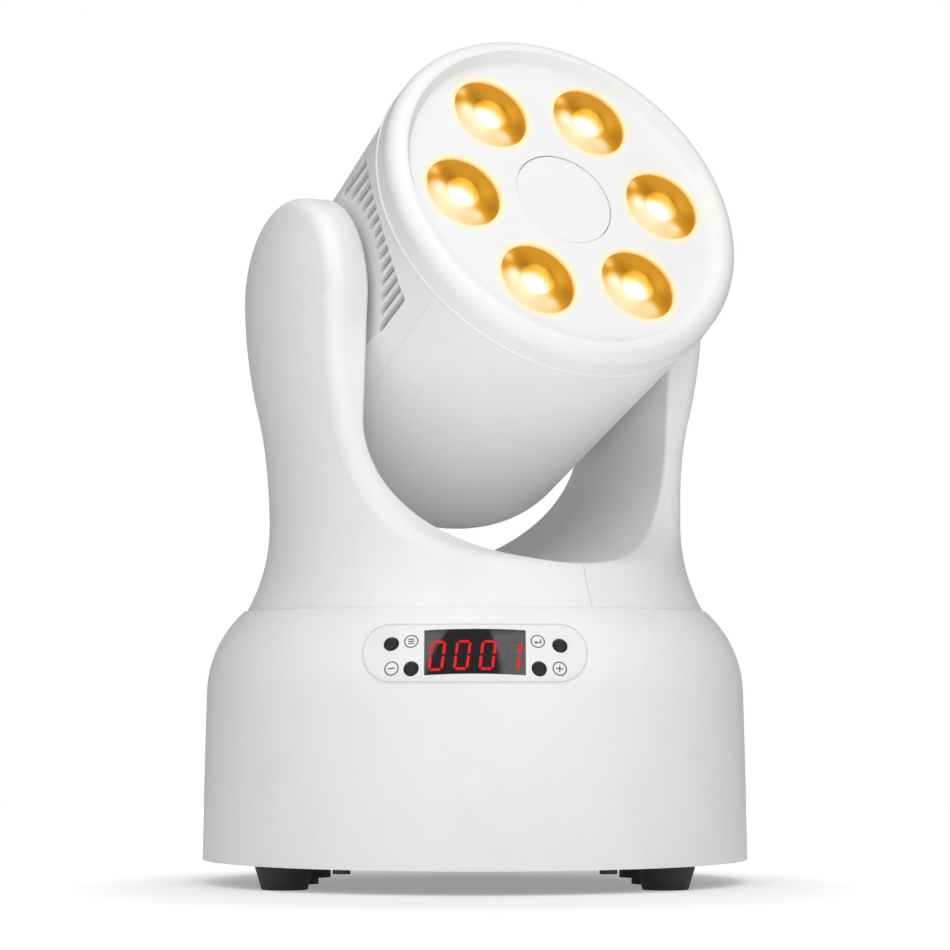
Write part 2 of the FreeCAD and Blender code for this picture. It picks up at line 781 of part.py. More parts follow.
def pulley(at, radius, bore, width, axis, flange=1.6, rim=0.5):
    """A belt pulley with a flange on each side."""
    step = {"x": 0, "z": 2}[axis]
    far = list(at)
    far[step] = f"({at[step]}) + ({width}) - {rim}"
    disc = rod(at, radius, width, axis)
    sides = [rod(place, f"{radius} + {flange}", rim, axis) for place in (at, far)]
    return cut(fuse(disc, *sides), rod(at, bore, width, axis))


def belt_core(role, offset, width, wheels, gap):
    """The space inside a belt's loop: a disc at each pulley and the block between the tangents.

    wheels holds the larger pulley and the smaller, each as (across, up, radius) in the loop's plane."""
    circles = [(value(across), value(up), value(f"{radius} + {gap}")) for across, up, radius in wheels]
    (start_x, start_y, start_radius), (stop_x, stop_y, stop_radius) = circles
    along = Vec(stop_x - start_x, stop_y - start_y, 0)
    lean = (start_radius - stop_radius) / along.Length
    along.normalize()
    across = Vec(-along.y, along.x, 0) * math.sqrt(1 - lean**2)
    tangents = [along * lean - across, along * lean + across]
    body = new_body("belt_block")

    def draw(sketch):
        corners = [Vec(start_x, start_y, 0) + tangents[0] * start_radius]
        corners += [Vec(stop_x, stop_y, 0) + tangent * stop_radius for tangent in tangents]
        corners.append(Vec(start_x, start_y, 0) + tangents[1] * start_radius)
        outline(sketch, [(corner.x, corner.y) for corner in corners])

    pad(body, role, offset, width, draw, midplane=True)
    low = f"{offset} - ({width}) / 2"
    discs = []
    for x, y, radius in circles:
        at, axis = ((x, y, low), "z") if role == "XY_Plane" else ((low, x, y), "x")
        discs.append(rod(at, radius, width, axis))
    return fuse(body, *discs)


def belt(role, offset, width, wheels):
    """A toothless drive belt, which runs a small gap clear of both pulleys."""
    outside = belt_core(role, offset, width, wheels, "dim.belt_gap + dim.belt_thick")
    inside = belt_core(role, offset, f"{width} + 1", wheels, "dim.belt_gap")
    return cut(outside, inside)


def pan_drive():
    """What stays in the base: the bearing, the motor under its bracket, its pulley and the belt."""
    bore = "dim.pan_shaft_radius + 0.05"
    keep(ring(("0", "0", COLLAR_Z), "dim.pan_bearing_radius", bore, "dim.pan_bearing_height"), "pan_bearing")
    half = "dim.pan_motor_size / 2"
    x, top = "dim.pan_motor_x", "dim.pan_motor_top"
    low = (f"{x} - {half}", f"-{half}", f"{top} - dim.pan_motor_length")
    case = box(low, (f"{x} + {half}", half, f"{top} - 8"))
    cover = rod((x, "0", f"{top} - 9"), "dim.pan_motor_size / 2 - 0.2", "9")
    keep(fuse(case, cover, rod((x, "0", top), "11", "1.4")), "pan_motor")
    plate = box(("-72", "-26", top), ("-25", "26", f"{top} + dim.sheet_thick"))
    keep(cut(plate, rod((x, "0", f"{top} - 1"), "11.1", "4")), "pan_motor_bracket")
    bore = "dim.pan_motor_shaft_radius"
    wheel = pulley((x, "0", PAN_PULLEY_Z), "dim.pan_motor_pulley_radius", bore, PAN_PULLEY_WIDTH, "z")
    keep(fuse(wheel, rod((x, "0", f"{top} + 1.7"), bore, "12")), "pan_motor_pulley")
    wheels = [("0", "0", "dim.pan_pulley_radius"), (x, "0", "dim.pan_motor_pulley_radius")]
    keep(belt("XY_Plane", "dim.pan_belt_z", "4", wheels), "pan_belt")


def pan_rotor():
    """What turns with the yoke inside the base: the hollow shaft and its pulley."""
    tube = rod(("0", "0", PAN_PULLEY_Z), "dim.pan_shaft_radius", f"dim.yoke_bottom + 2.2 - {PAN_PULLEY_Z}")
    flange = rod(("0", "0", "dim.yoke_bottom + 0.2"), "26", "2")
    solid = cut(fuse(tube, flange), rod(("0", "0", "dim.shoulder_z"), "dim.pan_shaft_bore", THROUGH))
    keep(solid, "pan_shaft", frame("yoke"))
    bore = "dim.pan_shaft_radius"
    wheel = pulley(("0", "0", PAN_PULLEY_Z), "dim.pan_pulley_radius", bore, PAN_PULLEY_WIDTH, "z")
    keep(wheel, "pan_pulley", frame("yoke"))


# ---- yoke --------------------------------------------------------------------------------------

GAP_CENTRE_Z = "(dim.gap_floor_z + dim.gap_floor_radius)"
GAP_INSET = "(dim.gap_half - dim.gap_corner_radius)"
GAP_SPAN = "(dim.gap_floor_radius - dim.gap_corner_radius)"
GAP_DROP = f"sqrt({GAP_SPAN}^2 - {GAP_INSET}^2)"
YOKE_TOP = "235"
TILT_PULLEY_X = "dim.tilt_belt_x - 2.2"
TILT_PULLEY_WIDTH = "4.4"
YOKE_SCREWS = ((-17.0, 203.0), (17.0, 203.0), (-17.0, 176.0), (17.0, 176.0))


def gap_solid(grown, length):
    """The space between the arms: straight walls, round corners and a shallow round floor."""
    floor_radius = f"(dim.gap_floor_radius + {grown})"
    turn_x = f"{floor_radius} * {GAP_INSET} / {GAP_SPAN}"
    turn_z = f"{GAP_CENTRE_Z} - {floor_radius} * {GAP_DROP} / {GAP_SPAN}"
    side_z = f"{GAP_CENTRE_Z} - {GAP_DROP}"
    wall = f"dim.gap_half + {grown}"
    corner = f"dim.gap_corner_radius + {grown}"
    body = new_body("gap")

    def draw(sketch):
        outline(sketch, [
            (f"-({turn_x})", turn_z, floor_radius, 1),
            (turn_x, turn_z, corner, 1),
            (wall, side_z),
            (wall, YOKE_TOP),
            (f"-({wall})", YOKE_TOP),
            (f"-({wall})", side_z, corner, 1),
        ])

    pad(body, "XZ_Plane", "0", length, draw, midplane=True)
    return body


def vase(skin):
    """The yoke's turned outside: a flared foot, a waist, and arms that swell up and lean in on top."""
    bend = f"(dim.bell_radius - {skin})"
    mid_radius = f"(dim.waist_radius + dim.arm_radius) / 2 - {skin}"
    mid_z = "(dim.waist_z + dim.arm_top_z) / 2"
    crown = f"(dim.crown_radius - {skin})"
    top_radius = f"dim.arm_radius - dim.crown_radius + sqrt({crown}^2 - ({YOKE_TOP} - dim.arm_top_z)^2)"
    return lathe("vase", [
        ("0", "dim.yoke_bottom - 5"),
        (f"dim.yoke_foot_radius - {skin}", "dim.yoke_bottom - 5"),
        (f"dim.yoke_foot_radius - {skin}", "dim.yoke_bottom", f"dim.flare_radius + {skin}", -1),
        (f"dim.waist_radius - {skin}", "dim.waist_z", f"dim.bell_radius + {skin}", -1),
        (mid_radius, mid_z, bend, 1),
        (f"dim.arm_radius - {skin}", "dim.arm_top_z", crown, 1),
        (top_radius, YOKE_TOP),
        ("0", YOKE_TOP),
    ])


def side_view(skin):
    """The yoke's shape seen along the tilt axis: round arm tops, necks, and a sweep into the foot."""
    half = f"dim.arm_half_width - {skin}"
    neck = f"dim.neck_half_width - {skin}"
    sweep = f"(dim.sweep_radius + {skin})"
    far = "dim.neck_half_width + dim.sweep_radius"
    shelf = f"dim.sweep_z - {sweep}"
    body = new_body("side_view")

    def draw(sketch):
        outline(sketch, [
            ("-95", "75"),
            ("95", "75"),
            ("95", shelf),
            (far, shelf, sweep, -1),
            (neck, "dim.sweep_z"),
            (half, "dim.arm_top_z", half, 1),
            ("0", f"dim.arm_top_z + {half}", half, 1),
            (f"-({half})", "dim.arm_top_z"),
            (f"-({neck})", "dim.sweep_z", sweep, -1),
            (f"-({far})", shelf),
            ("-95", shelf),
        ])

    pad(body, "YZ_Plane", "0", "200", draw, midplane=True)
    return body


def across_arms(y, z, radius):
    """A cutter that runs along the tilt axis through both arms."""
    return rod(("-80", y, z), radius, "160", "x")


def yoke_covers():
    """The moulded skin in two halves, and the liner between the arms."""
    shelf = value("dim.sweep_z - dim.sweep_radius")
    blank = common(vase("0"), side_view("0"))
    blank = rounded(blank, "arm_round", lambda edge: edge.BoundBox.ZMax > shelf)
    gap = gap_solid("0", "200")
    outside = rounded(cut(blank, gap), "gap_round", lambda edge: lies_on(gap.Shape, edge))
    inside = common(vase("(dim.yoke_skin + 0.5)"), side_view("(dim.yoke_skin + 2)"))
    skin = cut(outside, inside)
    right = box(("0.08", "-100", "dim.yoke_bottom"), ("100", "100", "240"))
    left = box(("-100", "-100", "dim.yoke_bottom"), ("-0.08", "100", "240"))
    keep(common(skin, right), "yoke_cover_right", frame("yoke"))
    keep(common(skin, left), "yoke_cover_left", frame("yoke"))
    wall = common(outside, inside, gap_solid("dim.yoke_skin", "200"))
    holes = [across_arms("0", "dim.tilt_z", "dim.tilt_bearing_radius")]
    for y, z in YOKE_SCREWS:
        holes.append(across_arms(y, z, "1.45"))
        holes.append(rod(("-dim.liner_face", y, z), "2.7", "2 * dim.liner_face", "x"))
    keep(cut(wall, *holes), "yoke_liner", frame("yoke"))


def yoke_frame():
    """A bent steel chassis: a round foot plate with an upright in each arm."""
    floor_z = "dim.yoke_bottom + dim.yoke_plate_lift"
    half = "dim.upright_half"
    plate = rod(("0", "0", floor_z), "dim.yoke_plate_radius", "dim.plate_thick")
    uprights = []
    for side in (-1, 1):
        near = "dim.upright_x" if side > 0 else "-(dim.upright_x + dim.upright_thick)"
        far = "dim.upright_x + dim.upright_thick" if side > 0 else "-dim.upright_x"
        uprights.append(box((near, f"-{half}", floor_z), (far, half, "dim.tilt_z")))
        uprights.append(rod((near, "0", "dim.tilt_z"), half, "dim.upright_thick", "x"))
    bores = [
        rod(("0", "0", "80"), "dim.pan_shaft_bore", "30"),
        across_arms("0", "dim.tilt_z", "dim.tilt_bearing_radius"),
        rod(("50", "0", "dim.tilt_motor_z"), "5", "20", "x"),
    ]
    bores += [across_arms(y, z, "dim.thread_radius") for y, z in YOKE_SCREWS]
    keep(cut(fuse(plate, *uprights), *bores), "yoke_frame", frame("yoke"))
    screws = []
    for y, z in YOKE_SCREWS:
        for sign in (1, -1):
            at = (f"{sign} * dim.liner_face", y, z)
            screws.append(screw(at, "x", "2.5", "dim.shank_radius", "2.6", 1.2, sign))
    keep(group(*screws), "yoke_screws", frame("yoke"))


def tilt_drive():
    """What the tilt motor turns, in the right arm, and the bearings of both arms."""
    bearings = []
    for start in ("57.2", "-61.0"):
        bore = "dim.tilt_shaft_radius + 0.05"
        bearings.append(ring((start, "0", "dim.tilt_z"), "dim.tilt_bearing_radius", bore, "3.8", "x"))
    keep(group(*bearings), "tilt_bearings", frame("yoke"))
    back = "dim.tilt_motor_back"
    can = rod((back, "0", "dim.tilt_motor_z"), "dim.tilt_motor_radius", f"dim.upright_x - {back}", "x")
    neck = rod(("dim.upright_x - 0.1", "0", "dim.tilt_motor_z"), "4", "1.1", "x")
    keep(fuse(can, neck), "tilt_motor", frame("yoke"))
    start = (TILT_PULLEY_X, "0", "dim.tilt_motor_z")
    wheel = pulley(start, "dim.tilt_motor_pulley_radius", "1", TILT_PULLEY_WIDTH, "x", 1.4, 0.4)
    shaft = rod(("dim.upright_x + 1.3", "0", "dim.tilt_motor_z"), "1", "5.4", "x")
    keep(fuse(wheel, shaft), "tilt_motor_pulley", frame("yoke"))
    wheels = [
        ("0", "dim.tilt_z", "dim.tilt_pulley_radius"),
        ("0", "dim.tilt_motor_z", "dim.tilt_motor_pulley_radius"),
    ]
    keep(belt("YZ_Plane", "dim.tilt_belt_x", "3", wheels), "tilt_belt", frame("yoke"))


# ---- head --------------------------------------------------------------------------------------


def barrel(skin):
    """The head's tapered barrel with a round rear edge and a flat on each side near the arms."""
    end = f"-(dim.barrel_end - {skin})"
    edge_z = "-(dim.barrel_end - dim.barrel_round)"
    edge_radius = "dim.barrel_rear_radius - dim.barrel_round"
    round_radius = f"(dim.barrel_round - {skin})"
    body = lathe("barrel", [
        ("0", end),
        (edge_radius, end, round_radius, 1),
        (f"{edge_radius} + {round_radius}", edge_z),
        (f"dim.barrel_front_radius - {skin}", "dim.bezel_back"),
        ("0", "dim.bezel_back"),
    ])
    flat = f"(dim.flat_half - {skin})"
    ramp = "(dim.barrel_front_radius - dim.flat_half + 2)"
    for side in ("1", "-1"):
        def draw(sketch, side=side):
            outline(sketch, [
                (f"{side} * {flat}", "-70"),
                (f"{side} * {flat}", "dim.flat_end"),
                (f"{side} * ({flat} + {ramp})", f"dim.flat_end + 1.3 * {ramp}"),
                (f"{side} * 90", f"dim.flat_end + 1.3 * {ramp}"),
                (f"{side} * 90", "-70"),
            ])
        pocket(body, "XZ_Plane", "0", "150", draw, midplane=True)
    return body


def vent_slots(panel):
    """Cooling slots along the barrel: their ends follow two arcs, the rear one about the tilt axis."""
    slots = []
    half = "dim.vent_height / 2"
    bow = "dim.vent_front_radius"
    for index in range(VENTS):
        y = f"({index} - {(VENTS - 1) / 2}) * dim.vent_pitch"
        front = f"dim.vent_front - {half} - {bow} + sqrt({bow}^2 - ({y})^2)"
        rear = f"sqrt(dim.vent_hub_radius^2 - ({y})^2) + {half}"
        slots.append(box(("-80", f"{y} - {half}", rear), ("80", f"{y} + {half}", front)))
        slots += [across_arms(y, end, half) for end in (rear, front)]
    return cut(panel, fuse(*slots))


SIDE_PANELS = {"head_side_panel_right": ("30", "80"), "head_side_panel_left": ("-80", "-30")}


def side_block(low, high, gap):
    """The space that a side panel fills, larger by a gap all round."""
    return box(
        (low, f"-dim.panel_split - {gap}", f"dim.panel_rear - {gap}"),
        (high, f"dim.panel_split + {gap}", f"dim.bezel_back + {gap}"),
    )


def head_shells():
    """The barrel's skin in five pieces, with a fine gap between neighbours, and the rear's screws."""
    shell = cut(barrel("0"), barrel("dim.head_skin"))
    sides = [side_block(low, high, 0.1) for low, high in SIDE_PANELS.values()]
    rear_block = box(("-80", "-80", "-60"), ("80", "80", "dim.panel_rear"))
    front = cut(shell, rear_block, *sides)
    upper = box(("-80", "0", "-60"), ("80", "80", "60"))
    lower = box(("-80", "-80", "-60"), ("80", "0", "60"))
    keep(common(front, upper), "head_top_cover", frame("head"))
    keep(common(front, lower), "head_bottom_cover", frame("head"))
    hub = across_arms("0", "0", "dim.tilt_shaft_radius + 1")
    for label, (low, high) in SIDE_PANELS.items():
        panel = common(shell, side_block(low, high, 0))
        keep(vent_slots(cut(panel, hub)), label, frame("head"))
    rear = common(shell, box(("-80", "-80", "-60"), ("80", "80", "dim.panel_rear - 0.1")))
    grille = []
    half = "dim.vent_height / 2"
    for index in range(-6, 7):
        x = f"{index} * dim.vent_pitch"
        reach = f"sqrt(dim.grille_radius^2 - ({x})^2)"
        grille.append(box((f"{x} - {half}", f"-{reach}", "-60"), (f"{x} + {half}", reach, "-45")))
    corners = around(4, 45, size("fan_hole_circle"))
    holes = [rod((x, y, "-60"), "1.5", "20") for x, y in corners]
    sinks = [rod((x, y, "-dim.rear_sink - 2.2"), "3", "2.2") for x, y in corners]
    keep(cut(rear, *grille, *holes, *sinks), "head_rear_cover", frame("head"))
    screws = [screw((x, y, "-dim.rear_sink"), "z", "2.7", "1.4", "9", 1.2) for x, y in corners]
    keep(group(*screws), "rear_cover_screws", frame("head"))


def lens_places():
    return around(LENSES, 0, size("lens_circle"))


def front_parts():
    """The bezel with its rolled rim and a bead round its rear edge, and the blank disc in its middle."""
    inner = "dim.bezel_radius - 2.2"
    bezel = lathe("bezel", [
        ("0", "dim.face_z - 2.2"),
        ("dim.face_radius", "dim.face_z - 2.2"),
        (inner, "dim.face_z - 4.5"),
        (inner, "dim.bezel_back"),
        ("dim.bezel_radius + dim.bezel_bead", "dim.bezel_back"),
        ("dim.bezel_radius + dim.bezel_bead", "dim.bezel_back + dim.bezel_bead"),
        ("dim.bezel_radius", "dim.bezel_back + 2.5 * dim.bezel_bead"),
        ("dim.bezel_radius", "dim.rim_crest - dim.rim_round", "dim.rim_round", 1),
        ("dim.rim_crest_radius", "dim.rim_crest"),
        ("dim.rim_crest_radius - 0.8", "dim.rim_crest"),
        ("dim.face_radius", "dim.face_z"),
        ("0", "dim.face_z"),
    ])
    holes = [(x, y, "dim.lens_hole_radius") for x, y in lens_places()]
    holes.append((0, 0, "dim.centre_radius + 0.2"))
    for hole in holes:
        pocket(bezel, "XY_Plane", "80", "30", lambda sketch, hole=hole: circle(sketch, *hole))
    keep(bezel, "front_bezel", frame("head"))
    disc = lathe("centre_disc", [
        ("0", "61.4"),
        ("6", "61.4"),
        ("6", "64.3"),
        ("dim.centre_radius", "64.3"),
        ("dim.centre_radius", "dim.face_z - 0.6"),
        ("dim.centre_radius - 0.3", "dim.face_z - 0.3"),
        ("0", "dim.face_z - 0.3"),
    ])
    keep(disc, "centre_cover", frame("head"))


def optics():
    """Six collimator lenses in a holder, over the board that carries the light sources."""
    crown = "(dim.lens_radius^2 + dim.lens_crown^2) / (2 * dim.lens_crown)"
    for index, (x, y) in enumerate(lens_places(), start=1):
        lens = lathe(f"lens_body_{index}", [
            ("0", "53"),
            ("3.4", "53"),
            ("3.4", "49"),
            ("5", "49"),
            ("12.2", "61.6"),
            ("13.6", "61.6"),
            ("13.6", "63.6"),
            ("dim.lens_radius", "63.6"),
            ("dim.lens_radius", "dim.face_z - dim.lens_crown", crown, 1),
            ("0", "dim.face_z"),
        ])
        keep(lens, f"lens_{index}", frame("head").multiply(Place(Vec(x, y, 0), Turn())))
    plate = rod(("0", "0", "dim.holder_z"), "dim.holder_radius", "2")
    holes = [rod((x, y, "dim.holder_z - 1.4"), "12.7", "6") for x, y in lens_places()]
    board_top = "dim.led_board_z + dim.board_thick"
    posts = [rod((x, y, board_top), "3", "13") for x, y in around(3, 30, 18)]
    keep(fuse(cut(plate, *holes), *posts), "lens_holder", frame("head"))
    board = rod(("0", "0", "dim.led_board_z"), "dim.led_board_radius", "dim.board_thick")
    sources = []
    for x, y in lens_places():
        sources.append(box((x - 3.5, y - 3.5, "46.5"), (x + 3.5, y + 3.5, "47.8")))
        dome = common(ball((x, y, "47.6"), "2.6"), box((x - 3, y - 3, "47.6"), (x + 3, y + 3, "52")))
        sources.append(dome)
    keep(fuse(board, *sources), "led_board", frame("head"))


def cooling():
    """The finned heat sink, and the fan that blows on it from the rear."""
    front = "dim.led_board_z"
    slab = box(("-50", "-50", f"{front} - 5"), ("50", "50", front))
    rear = "dim.heat_sink_rear"
    fins = [box((x - 0.8, "-50", rear), (x + 0.8, "50", f"{front} - 4.5")) for x in range(-42, 43, 7)]
    round_block = rod(("0", "0", f"{rear} - 0.5"), "dim.heat_sink_radius", "27")
    keep(common(fuse(slab, *fins), round_block), "heat_sink", frame("head"))
    half = "dim.fan_size / 2"
    rear = "-dim.fan_rear"
    case = box((f"-{half}", f"-{half}", rear), (half, half, f"{rear} + 15"))
    bore = rod(("0", "0", f"{rear} - 1"), "dim.fan_bore", "20")
    corners = around(4, 45, size("fan_hole_circle"))
    holes = [rod((x, y, f"{rear} - 1"), "2.2", "20") for x, y in corners]
    hub = rod(("0", "0", rear), "dim.fan_hub_radius - 1", "2")
    arms = [box(("0", "-1.5", rear), ("dim.fan_bore + 1", "1.5", f"{rear} + 2")) for turn in range(3)]
    for turn, arm in enumerate(arms):
        arm.Placement = Place(Vec(), Turn(Vec(0, 0, 1), 120 * turn)).multiply(arm.Placement)
    keep(fuse(cut(case, bore, *holes), hub, *arms), "fan_frame", frame("head"))
    rotor = rod(("0", "0", f"{rear} + 2.5"), "dim.fan_hub_radius", "11.5")
    blades = []
    root = value("dim.fan_hub_radius - 1")
    for turn in range(FAN_BLADES):
        blade = doc.addObject("Part::Box", "blade")
        bind(blade, {"Length": "dim.fan_bore - dim.fan_hub_radius", "Width": "1.2", "Height": "13"})
        pitch = Place(Vec(), Turn(Vec(1, 0, 0), 42)).multiply(Place(Vec(root, -0.6, -6.5), Turn()))
        spin = Place(Vec(0, 0, value(f"{rear} + 8.2")), Turn(Vec(0, 0, 1), 360 * turn / FAN_BLADES))
        blade.Placement = spin.multiply(pitch)
        blades.append(blade)
    keep(fuse(rotor, *blades), "fan_rotor", frame("head"))


def head_frame():
    """A bent bracket across the head, and the hollow stub shafts that it hangs on."""
    body = new_body("bracket")

    inner, depth = "dim.bracket_half", "dim.bracket_depth"
    outer = f"({inner} + dim.sheet_thick)"

    def draw(sketch):
        outline(sketch, [
            (f"-{outer}", f"-{depth}"),
            (f"-{inner}", f"-{depth}"),
            (f"-{inner}", depth),
            (inner, depth),
            (inner, f"-{depth}"),
            (outer, f"-{depth}"),
            (outer, f"{depth} + dim.sheet_thick"),
            (f"-{outer}", f"{depth} + dim.sheet_thick"),
        ])

    pad(body, "XZ_Plane", "0", f"2 * {depth}", draw, midplane=True)
    bores = [across_arms("0", "0", "dim.tilt_shaft_radius"), rod(("0", "0", "10"), "14", "20")]
    keep(cut(body, *bores), "head_frame", frame("head"))
    shafts = []
    for start, stop, flange in (("47.9", "dim.tilt_belt_x + 3", "47.9"), ("-63.5", "-47.9", "-49.9")):
        tube = rod((start, "0", "0"), "dim.tilt_shaft_radius", f"({stop}) - ({start})", "x")
        collar = rod((flange, "0", "0"), "12", "2", "x")
        shafts.append(cut(fuse(tube, collar), across_arms("0", "0", "dim.tilt_shaft_bore")))
    keep(group(*shafts), "tilt_shafts", frame("head"))
    at = (TILT_PULLEY_X, "0", "0")
    bore = "dim.tilt_shaft_radius"
    wheel = pulley(at, "dim.tilt_pulley_radius", bore, TILT_PULLEY_WIDTH, "x", 1.8, 0.4)
    keep(wheel, "tilt_pulley", frame("head"))


base_housing()
control_label()
display_window()
display_module()
panel_board()
buttons()
base_plate()
feet()
base_screws()
rear_panel()
power_inlet()
signal_sockets()
boards()
pan_drive()
pan_rotor()
yoke_covers()
yoke_frame()
tilt_drive()
head_shells()
front_parts()
optics()
cooling()
head_frame()
doc.recompute()

for item in doc.Objects:
    if {"Invalid", "Error"} & set(item.State):
        raise ValueError(f"{item.Name} ({item.Label}) failed: {item.State}")
os.makedirs("parts", exist_ok=True)
for item in nodes:
    shape = item.Shape
    if shape.isNull() or not shape.isValid() or not shape.Solids:
        raise ValueError(f"{item.Label} has no valid solid")
    shape.exportStep(f"parts/{item.Label}.step")
    print(f"{item.Label:24s} {len(shape.Solids)} solid(s), {shape.Volume / 1000:9.2f} cm3")
print(f"{len(nodes)} nodes")
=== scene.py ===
import json
import math

import bpy
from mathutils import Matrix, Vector
from mathutils.bvhtree import BVHTree


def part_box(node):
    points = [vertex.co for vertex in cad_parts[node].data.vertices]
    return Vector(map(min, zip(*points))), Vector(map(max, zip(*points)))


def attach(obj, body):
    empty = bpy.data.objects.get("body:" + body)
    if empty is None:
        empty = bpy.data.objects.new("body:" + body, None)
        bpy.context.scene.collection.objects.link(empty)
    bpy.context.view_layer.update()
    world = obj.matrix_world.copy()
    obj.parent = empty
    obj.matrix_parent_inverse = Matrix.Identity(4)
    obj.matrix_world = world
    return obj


# The looks of the moving head light: materials for every part of the frame, the printed control
# panel with its lit digits, the lit lenses, and a plain studio. Metres, in the frame's own axes.

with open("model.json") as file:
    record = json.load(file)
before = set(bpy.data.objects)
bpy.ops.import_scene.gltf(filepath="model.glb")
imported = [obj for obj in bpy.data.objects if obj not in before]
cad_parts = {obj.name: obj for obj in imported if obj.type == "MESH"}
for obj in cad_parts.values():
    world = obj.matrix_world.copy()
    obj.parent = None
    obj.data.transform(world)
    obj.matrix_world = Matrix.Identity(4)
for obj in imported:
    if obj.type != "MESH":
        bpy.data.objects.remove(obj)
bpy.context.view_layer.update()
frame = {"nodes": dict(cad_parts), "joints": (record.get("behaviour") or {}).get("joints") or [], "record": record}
nodes = frame["nodes"]
joints = {joint["name"]: joint for joint in frame["joints"]}

MM = 0.001

# ---- directions and places taken from the frame -------------------------------------------------

BEAM = Vector(joints["fan_spin"]["axis"]).normalized()
LEFT = Vector(joints["tilt"]["axis"]).normalized()
RISE = LEFT.cross(BEAM)
PIVOT = Vector(joints["tilt"]["pos_m"])
PRESS = Vector(joints["button_menu_press"]["axis"]).normalized()
ACROSS = Vector((1.0, 0.0, 0.0))
UP = ACROSS.cross(PRESS)


def spots_of(node):
    return [vertex.co.copy() for vertex in nodes[node].data.vertices]


def middle(lengths):
    return (min(lengths) + max(lengths)) / 2


# ---- node trees ---------------------------------------------------------------------------------


class Tree:
    """A node tree, with short calls that add nodes already linked."""

    def __init__(self, tree):
        self.tree = tree
        tree.nodes.clear()

    def node(self, kind, **settings):
        made = self.tree.nodes.new(kind)
        for name, setting in settings.items():
            setattr(made, name, setting)
        return made

    def feed(self, socket, value):
        """Give an input a link, a color or a plain value."""
        if isinstance(value, bpy.types.NodeSocket):
            self.tree.links.new(value, socket)
        elif socket.type == "RGBA":
            socket.default_value = (*value, 1.0)
        else:
            socket.default_value = value

    def fed(self, kind, values, **settings):
        """A node with its first inputs fed in order."""
        made = self.node(kind, **settings)
        for socket, value in zip(made.inputs, values):
            self.feed(socket, value)
        return made

    def math(self, operation, *values, clamp=False):
        return self.fed("ShaderNodeMath", values, operation=operation, use_clamp=clamp).outputs[0]

    def vector(self, operation, *values):
        made = self.fed("ShaderNodeVectorMath", values, operation=operation)
        scalar = operation in ("DOT_PRODUCT", "LENGTH", "DISTANCE")
        return made.outputs["Value" if scalar else "Vector"]

    def spread(self, value, low, high, to_low, to_high):
        """Map a range of numbers on to another."""
        return self.fed("ShaderNodeMapRange", (value, low, high, to_low, to_high)).outputs[0]


class Graph(Tree):
    """A material: its shader, and textures in the object's own coordinates."""

    def __init__(self, name):
        self.material = bpy.data.materials.new(name)
        self.material.use_nodes = True
        super().__init__(self.material.node_tree)
        self.shader = self.node("ShaderNodeBsdfPrincipled")
        output = self.node("ShaderNodeOutputMaterial")
        self.feed(output.inputs["Surface"], self.shader.outputs[0])
        self.place = self.node("ShaderNodeTexCoord").outputs["Object"]

    def ramp(self, factor, stops):
        made = self.node("ShaderNodeValToRGB")
        self.feed(made.inputs[0], factor)
        points = made.color_ramp.elements
        while len(points) < len(stops):
            points.new(1.0)
        for point, (position, color) in zip(points, stops):
            point.position = position
            point.color = (*color, 1.0)
        return made.outputs[0]

    def mix(self, factor, first, second):
        made = self.node("ShaderNodeMix", data_type="RGBA")
        for index, value in ((0, factor), (6, first), (7, second)):
            self.feed(made.inputs[index], value)
        return made.outputs[2]

    def noise(self, scale, detail=2.0, roughness=0.5, distortion=0.0, stretch=None):
        """Noise whose scale is in cycles to the metre, squeezed along each axis by stretch."""
        made = self.node("ShaderNodeTexNoise")
        settings = {"Scale": scale, "Detail": detail, "Roughness": roughness, "Distortion": distortion}
        settings["Vector"] = self.vector("MULTIPLY", self.place, stretch) if stretch else self.place
        for name, value in settings.items():
            self.feed(made.inputs[name], value)
        return made.outputs["Fac"]

    def bump(self, height, distance, strength, base=None):
        made = self.node("ShaderNodeBump")
        for name, value in (("Height", height), ("Distance", distance), ("Strength", strength)):
            self.feed(made.inputs[name], value)
        if base:
            self.feed(made.inputs["Normal"], base)
        return made.outputs["Normal"]

    def set(self, **values):
        """Feed the shader: names are the sockets' names with _ for a space."""
        for name, value in values.items():
            self.feed(self.shader.inputs[name.replace("_", " ")], value)
        return self.material


# ---- materials ----------------------------------------------------------------------------------

BLACK = (0.0, 0.0, 0.0)
PLASTIC_IOR = 1.52


def grey(level):
    return (level, level, level)


def scaled(color, share):
    return tuple(channel * share for channel in color)


def handled(graph, color, share, roughness, rougher):
    """Smudges from handling: a slightly darker color and an uneven gloss."""
    marks = graph.noise(38.0, 4.0, 0.6, 0.4)
    shade = graph.mix(graph.spread(marks, 0.42, 0.75, 0.0, 1.0), color, scaled(color, share))
    gloss = graph.spread(marks, 0.3, 0.75, roughness - 0.03, roughness + rougher)
    return shade, gloss


def moulded(name, color, roughness, grain=0.02):
    """Injection-moulded plastic: fine spark-eroded grain, faint flow marks and handling smudges."""
    graph = Graph(name)
    shade, gloss = handled(graph, color, 0.955, roughness, 0.07)
    flow = graph.bump(graph.noise(14.0, 1.0), 0.25 * MM, 0.25)
    normal = graph.bump(graph.noise(1500.0), grain * MM, 0.6, flow)
    return graph.set(Base_Color=shade, Roughness=gloss, Normal=normal, IOR=PLASTIC_IOR)


def rubber(name, level, roughness):
    """Matt rubber with pale dust on it."""
    graph = Graph(name)
    fine = graph.noise(2200.0, 3.0)
    dust = graph.noise(120.0, 5.0, 0.7)
    shade = graph.mix(graph.spread(dust, 0.5, 0.8, 0.0, 0.5), grey(level), grey(level * 3.0))
    gloss = graph.spread(dust, 0.3, 0.8, roughness, roughness + 0.15)
    return graph.set(Base_Color=shade, Roughness=gloss, Normal=graph.bump(fine, 0.04 * MM, 0.7))


